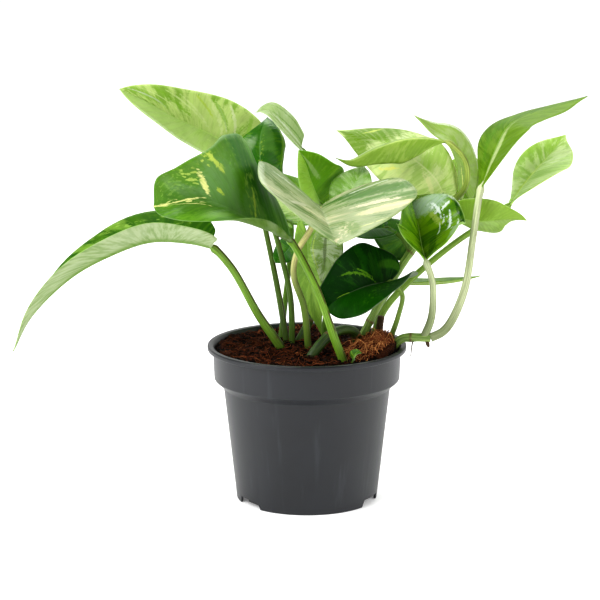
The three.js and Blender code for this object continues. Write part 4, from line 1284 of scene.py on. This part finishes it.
PLAIN_STALK = (112, 154, 46)  # and the tones of the stalks that differ from it
STALKS = {
    "leaf_left_low": (126, 166, 56), "leaf_front_left": (124, 168, 46),
    "leaf_front_centre": (214, 210, 138), "leaf_right_tall": (206, 216, 168),
    "leaf_right_glossy": (204, 216, 166), "leaf_right_far": (140, 176, 70),
    "leaf_low_dark": (142, 176, 78), "leaf_right_young": (190, 210, 104),
    "leaf_left_high": (86, 116, 36), "leaf_behind_left": (86, 120, 34),
}
PALE_TOPS = {"leaf_front_centre": (44.0, 78.0)}  # millimetres along, where green turns to the pale top
PLAIN_BROWN_EDGE = 0.35  # how strong a stalk's dry edge is, and the stronger ones by leaf
BROWN_EDGES = {
    "leaf_front_left": 1.0, "leaf_left_low": 0.9, "leaf_left_high": 0.9, "leaf_behind_left": 0.9,
}
VINE_GREENS = {  # dark and pale
    "vine_centre": ((34, 60, 10), (84, 116, 36)),
    "vine_arch": ((22, 42, 4), (62, 92, 20)),
    "vine_right_back": ((72, 106, 30), (140, 168, 78)),
    "vine_over_rim": ((78, 112, 36), (146, 172, 88)),
}


class LeafPaint(Paint):
    """A variegated leaf's material. Its patterns run out along the side veins."""

    def __init__(self, name, look):
        super().__init__(name + "_blade")
        self.seed = sum(ord(letter) for letter in name) * 0.37
        self.look = look
        self.ground = srgb(*look["ground"])
        self.along, across = self.layout()
        self.signed = across * 2 - 1
        self.out = self.signed.absolute()
        self.bands = self.vein_noise(9, 1.0, 0, 3.0, 0.5, 0.2)
        self.hairs = self.vein_noise(110, 2.4, 9, 3.0, 0.6)
        self.grit = self.vein_noise(46, 17, 17, 4.0, 0.7)
        self.cloud = self.noise(self.place(), 60.0, 3.0, 0.55)
        self.veins = (self.along * (2 * math.pi * FINE_VEINS) + self.bands * 7).sine() * 0.5 + 0.5

    def vein_noise(self, along, outward, shift, detail, roughness, distortion=0.0):
        """Noise that is this much finer along the leaf and outward. shift makes it another one."""
        places = (self.along * along, self.signed * outward, self.seed + shift)
        return self.drawn_noise(*places, detail, roughness, distortion)

    def mark(self, ragged, start, end, width):
        """A soft mark between two places of the leaf's layout, with a ragged edge."""
        run, rise = (end[0] - start[0]) * ASPECT, end[1] - start[1]
        length = math.hypot(run, rise)
        to_tip, to_margin = run / length, rise / length
        x, y = (start[0] + end[0]) / 2 * ASPECT, (start[1] + end[1]) / 2
        breadth = width * ASPECT
        reach = length / 2 + breadth
        ahead = self.along * (ASPECT * to_tip / reach) + self.signed * (to_margin / reach)
        ahead = ahead - (x * to_tip + y * to_margin) / reach
        aside = self.along * (-ASPECT * to_margin / breadth) + self.signed * (to_tip / breadth)
        aside = aside - (y * to_tip - x * to_margin) / breadth
        return (ahead * ahead + aside * aside + ragged).between(0.35, 1.3, 1.0, 0.0)

    def banded(self):
        """The leaf's own green, the tones of its halves and its sheen."""
        colour = self.ground
        if "halves" in self.look:
            (left_tone, left), (right_tone, right) = self.look["halves"]
            colour = self.mix(self.signed.between(-0.05, 0.02, left, 0.0), colour, srgb(*left_tone))
            colour = self.mix(self.signed.between(-0.02, 0.05, 0.0, right), colour, srgb(*right_tone))
        tone, share, strength = self.look["sheen"]
        mottle = self.bands * 0.7 + self.grit * 0.2 + self.hairs * 0.1
        mask = mottle.between(0.62 - 0.24 * share, 0.76 - 0.24 * share) * strength
        return self.mix(mask, colour, srgb(*tone))

    def streaked(self, colour):
        """Long streaks that gather in places."""
        for number, (tone, share, strength) in enumerate(self.look["streaks"]):
            shift = 3 + 4.3 * number
            gather = self.vein_noise(5, 0.9, shift, 2.0, 0.5)
            streaks = self.vein_noise(34, 1.4, shift + 2, 4.0, 0.62, 0.12)
            amount = gather * 0.45 + streaks * 0.4 + self.hairs * 0.1 + self.grit * 0.1
            turn = 0.585 - 0.26 * share
            mask = amount.between(turn, turn + 0.07) * strength
            if "soften_left" in self.look:
                mask = mask * self.signed.between(-0.05, 0.05, 1 - self.look["soften_left"], 1.0)
            colour = self.mix(mask, colour, srgb(*tone))
        return colour

    def marked(self, colour):
        """The dashes and flecks, and small specks all over."""
        ragged = self.grit * 4.5 + self.hairs * 1.2 - 2.85
        for tone, start, end, width, strength in self.look.get("dashes", ()):
            mask = self.mark(ragged * (0.35 if width > BROAD_DASH else 1.0), start, end, width)
            colour = self.mix(mask * strength, colour, srgb(*tone))
        broken = self.vein_noise(58, 12, 29, 2.0, 0.5).between(0.53, 0.6)
        for tone, start, end, width, strength in self.look.get("flecks", ()):
            area = self.mark(self.bands * 2 - 1, start, end, width)
            colour = self.mix(area * broken * strength, colour, srgb(*tone))
        specks = self.vein_noise(80, 16, 21, 1.0, 0.4).between(0.7, 0.76)
        return self.mix(specks * 0.5, colour, srgb(*self.look["streaks"][0][0]))

    def veined(self, colour):
        """Pale veins and midrib, dark hair lines and clouds, and a pale margin."""
        ground = self.ground
        colour = self.mix(self.veins.between(0.3, 1.0) * self.hairs * 0.22, colour, scaled(ground, 1.6))
        colour = self.mix(self.hairs.between(0.48, 0.7) * 0.22, colour, scaled(ground, 0.6))
        colour = self.mix(self.cloud.between(0.4, 0.7) * 0.2, colour, scaled(ground, 0.62))
        rib = self.out.between(0.0, 0.03, 1.0, 0.0) * self.along.between(0.5, 1.0, 1.0, 0.3)
        colour = self.mix(rib * self.look.get("rib", 0.45), colour, lighter(scaled(ground, 1.8), 0.22))
        return self.mix(self.out.between(0.975, 1.0) * 0.5, colour, lighter(scaled(ground, 1.6), 0.2))

    def underside(self):
        """The paler back of the leaf, with its keel."""
        own = {key: srgb(*self.look[key]) for key in ("under", "under_streak", "keel") if key in self.look}
        back = own.get("under", lighter(scaled(self.ground, 1.5), 0.16))
        streak = own.get("under_streak", scaled(back, 0.7))
        below = self.mix(self.hairs.between(0.4, 0.65) * 0.55, back, streak)
        below = self.mix(self.bands.between(0.45, 0.65) * 0.4, below, lighter(back, 0.3))
        keel = self.out.between(0.02, 0.3, 1.0, 0.0)
        return self.mix(keel * 0.7, below, own.get("keel", scaled(back, 0.76)))


def leaf_paint(name, look):
    """A variegated leaf, above and below."""
    paint = LeafPaint(name, look)
    colour = paint.veined(paint.marked(paint.streaked(paint.banded())))
    under = paint.attribute("under")
    colour = paint.mix(under, colour, paint.underside())
    pores = paint.noise(paint.place(), 700.0, 2.0, 0.5)
    height = paint.veins * 0.4 + paint.hairs * 0.4 + paint.cloud * 1.2 + pores * 0.25
    roughness = paint.hairs * 0.12 + look.get("gloss", 0.38) + under * 0.16
    normal = paint.bump(height, 0.0004, look.get("relief", 0.3))
    return paint.finish(colour, roughness, normal, look.get("glow", 0.22), look.get("shine", 0.35))


# ---- Other finishes -----------------------------------------------------------------------------


def stalk_paint(name):
    """A leaf stalk: green, streaked along its length, with the dry brown edge of its sheath."""
    paint = Paint(name + "_stalk")
    along, around = paint.layout()
    seed = len(name) * 1.7
    fibres = paint.drawn_noise(along * 0.04, around * 20, seed)
    green = srgb(*STALKS.get(name, PLAIN_STALK))
    colour = paint.mix(fibres.between(0.35, 0.68), scaled(green, 0.55), green)
    colour = paint.mix(fibres.between(0.6, 0.75) * 0.5, colour, lighter(green, 0.4))
    if name in PALE_TOPS:
        colour = paint.mix(along.between(*PALE_TOPS[name], 0.9, 0.0), colour, srgb(88, 122, 30))
    # painted shade: the stalk darker down one side
    shade = around.near(0.72, 0.2)
    colour = paint.mix(shade * 0.5, colour, scaled(green, 0.42))
    blotches = paint.drawn_noise(along * 0.1, around * 5, seed + 3)
    edge = around.near(0.8, 0.1) * blotches.between(0.36, 0.48)
    colour = paint.mix(edge * BROWN_EDGES.get(name, PLAIN_BROWN_EDGE), colour, srgb(62, 32, 12))
    scars = blotches.between(0.62, 0.68) * around.near(0.85, 0.16)
    colour = paint.mix(scars * 0.7, colour, srgb(104, 66, 34))
    foot = along.between(10.0, 34.0, 1.0, 0.0)
    colour = paint.mix(foot * 0.55, colour, srgb(62, 84, 18))
    normal = paint.bump(fibres + blotches * 0.6, 0.0003, 0.4)
    return paint.finish(colour, fibres * 0.2 + 0.36, normal, 0.05, 0.3)


def vine_paint(name):
    """A vine: like a stalk, with a brown ring and a dry papery stripe at its joints."""
    paint = Paint(name + "_skin")
    along, around = paint.layout()
    dark, pale = (srgb(*green) for green in VINE_GREENS[name])
    fibres = paint.drawn_noise(along * 0.06, around * 26, 2.0)
    blotches = paint.drawn_noise(along * 0.15, around * 6, 8.0, roughness=0.65)
    colour = paint.mix(fibres.between(0.3, 0.7), dark, pale)
    stripe = around.near(0.32, 0.1) * blotches.between(0.4, 0.6)
    colour = paint.mix(stripe * 0.8, colour, srgb(116, 84, 48))
    joint = ((along + JOINT_SHIFT) / JOINT_SPACING).fraction().near(0.5, 0.06)
    colour = paint.mix(joint * blotches.between(0.3, 0.5) * 0.85, colour, srgb(96, 66, 36))
    normal = paint.bump(fibres * 0.6 + joint * 0.8 + blotches * 0.4, 0.0005, 0.5)
    return paint.finish(colour, fibres * 0.2 + 0.4, normal, 0.04)


def bark_paint():
    paint = Paint("dry_bark")
    along, around = paint.layout()
    cracks = paint.drawn_noise(along * 0.35, around * 14, 1.0, 4.0, 0.7, 0.4)
    colour = paint.mix(cracks.between(0.3, 0.7), srgb(38, 26, 16), srgb(112, 84, 54))
    return paint.finish(colour, cracks * 0.2 + 0.7, paint.bump(cracks, 0.001, 0.9))


def soil_paint():
    """Damp coir soil: dark red-brown clods, with paler dry grains and short fibres."""
    paint = Paint("coir_soil")
    where = paint.place()
    clods = paint.noise(where, 110.0, 4.0, 0.62)
    grains = paint.noise(where, 520.0, 3.0, 0.6)
    threads = paint.noise(where, 340.0, 2.0, 0.5, 3.2)
    # near black where the clods are low: the damp soil's own dark brown, and painted shade in the hollows
    # between the clods
    colour = paint.mix(clods.between(0.46, 0.64), srgb(2, 1, 0), srgb(60, 28, 12))
    colour = paint.mix(threads.near(0.5, 0.03) * clods.between(0.4, 0.6) * 0.75, colour, srgb(134, 82, 46))
    colour = paint.mix(grains.between(0.62, 0.7) * 0.5, colour, srgb(98, 56, 32))
    height = clods * 0.8 + grains * 0.6 + threads.near(0.5, 0.05) * 0.5
    return paint.finish(colour, grains * 0.12 + 0.84, paint.bump(height, 0.002, 1.0), shine=0.1)


def thread_paint(name, dark, middle, pale):
    """Fibres and crumbs, each in its own brown."""
    paint = Paint(name)
    tint = paint.attribute("tint")
    grain = paint.noise(paint.place(), 700.0, 3.0, 0.6)
    colour = paint.mix(tint.between(0.0, 0.5), dark, middle)
    colour = paint.mix(tint.between(0.5, 1.0), colour, pale)
    colour = paint.mix(grain.between(0.4, 0.7) * 0.5, colour, dark)
    return paint.finish(colour, grain * 0.2 + 0.7, paint.bump(grain, 0.0004, 0.6), shine=0.15)


def pot_paint():
    """Moulded dark grey plastic: a satin skin with a fine grain and faint upright flow lines."""
    paint = Paint("moulded_grey")
    where = paint.place()
    x, y, z = paint.parts(where)
    grain = paint.noise(where, 1800.0, 2.0, 0.6)
    cloud = paint.noise(where, 22.0, 3.0, 0.6)
    flow = paint.drawn_noise(x * 160, y * 160, z * 6)
    colour = paint.mix(cloud.between(0.3, 0.7) * 0.6, srgb(19, 21, 26), srgb(27, 30, 36))
    colour = paint.mix(flow.between(0.55, 0.75) * 0.25, colour, srgb(58, 61, 67))
    near_rim = z.between((POT_HEIGHT - 13) * MM, (POT_HEIGHT - 0.5) * MM)
    dust = paint.noise(where, 90.0, 4.0, 0.7).between(0.52, 0.68) * near_rim
    inner, outer = (((BAND_RADIUS - WALL + clear) * MM) ** 2 for clear in (0.1, 0.5))
    inside = (x * x + y * y).between(inner, outer, 1.0, 0.0)
    colour = paint.mix(dust * inside * 0.55, colour, srgb(84, 60, 44))
    normal = paint.bump(grain * 0.4 + flow * 0.3, 0.0002, 0.5)
    return paint.finish(colour, grain * 0.1 + cloud * 0.08 + 0.33, normal)


# ---- Making the plant ---------------------------------------------------------------------------

for number, (name, leaf) in enumerate(LEAVES.items()):
    leaf_piece(number, name, leaf)
bark = bark_paint()
for name, vine in VINES.items():
    vine_piece(name, vine, [vine_paint(name), bark])
stub_piece(bark)
soil_body(soil_paint())
fibres_piece(thread_paint("coir_threads", srgb(24, 10, 4), srgb(116, 58, 28), srgb(222, 154, 94)))
crumbs_piece(thread_paint("soil_grains", srgb(14, 5, 2), srgb(84, 38, 18), srgb(140, 80, 42)))
pot_piece()

# ---- Floor, light and camera --------------------------------------------------------------------

MIDDLE = (0, 0, 150)
POT_MIDDLE = (0, 0, 60)
SWEEP_STEPS = 12
LENS_PIXELS, FRAME_PIXELS, SENSOR = 2487, 600, 36.0
CAMERA_AT = (-4.2, -1460, 440)
CAMERA_PITCH = 12.29  # degrees down


def stage_sweep():
    """A pale floor that rises behind the plant in one curve."""
    half_width, front, back, rise, bend = 14000, -14000, 3600, 3200, 900
    line = [(front, 0)]
    for step in range(SWEEP_STEPS + 1):
        angle = math.pi / 2 * step / SWEEP_STEPS
        line.append((back - bend + bend * math.sin(angle), bend - bend * math.cos(angle)))
    line.append((back, rise))
    points = [(x, y, z) for y, z in line for x in (-half_width, half_width)]
    faces = [(low, low + 1, low + 3, low + 2) for low in range(0, len(points) - 2, 2)]
    paint = Paint("pale_floor")
    speckle = paint.noise(paint.place(), 40.0, 3.0, 0.5)
    colour = paint.mix(speckle * 0.3, (0.9, 0.9, 0.9, 1), (0.86, 0.86, 0.86, 1))
    piece("floor_sweep", points, faces, [paint.finish(colour, 0.9, emission=0.16)])


def softbox(name, at, target, size, watts):
    light = bpy.data.lights.new(name, "AREA")
    light.shape, light.size, light.size_y = "RECTANGLE", size[0] * MM, size[1] * MM
    light.energy = watts
    lamp = bpy.data.objects.new(name, light)
    bpy.context.scene.collection.objects.link(lamp)
    lamp.location = Vector(at) * MM
    lamp.rotation_euler = (Vector(target) - Vector(at)).to_track_quat("-Z", "Y").to_euler()


def studio():
    softbox("light_left_high", (-900, -800, 1250), MIDDLE, (1100, 900), 21)
    softbox("light_right", (1250, -500, 700), MIDDLE, (700, 1100), 7)
    softbox("light_behind", (200, 1000, 1300), MIDDLE, (1200, 700), 12)
    softbox("light_pot_left", (-1300, -700, 120), POT_MIDDLE, (350, 900), 6)
    world = bpy.data.worlds.new("studio_air")
    bpy.context.scene.world = world
    world.use_nodes = True
    air = world.node_tree.nodes["Background"]
    air.inputs["Color"].default_value = (1.0, 1.0, 1.0, 1.0)
    air.inputs["Strength"].default_value = 0.72
    world.cycles_visibility.glossy = False


def camera():
    data = bpy.data.cameras.new("camera")
    data.sensor_width = SENSOR
    data.lens = LENS_PIXELS / FRAME_PIXELS * SENSOR
    data.clip_start, data.clip_end = 0.05, 20
    made = bpy.data.objects.new("camera", data)
    bpy.context.scene.collection.objects.link(made)
    made.location = Vector(CAMERA_AT) * MM
    made.rotation_euler = (math.radians(90 - CAMERA_PITCH), 0, 0)
    bpy.context.scene.camera = made


stage_sweep()
studio()
camera()
bpy.context.scene.view_settings.view_transform = "Standard"
bpy.context.scene.view_settings.look = "Medium High Contrast"
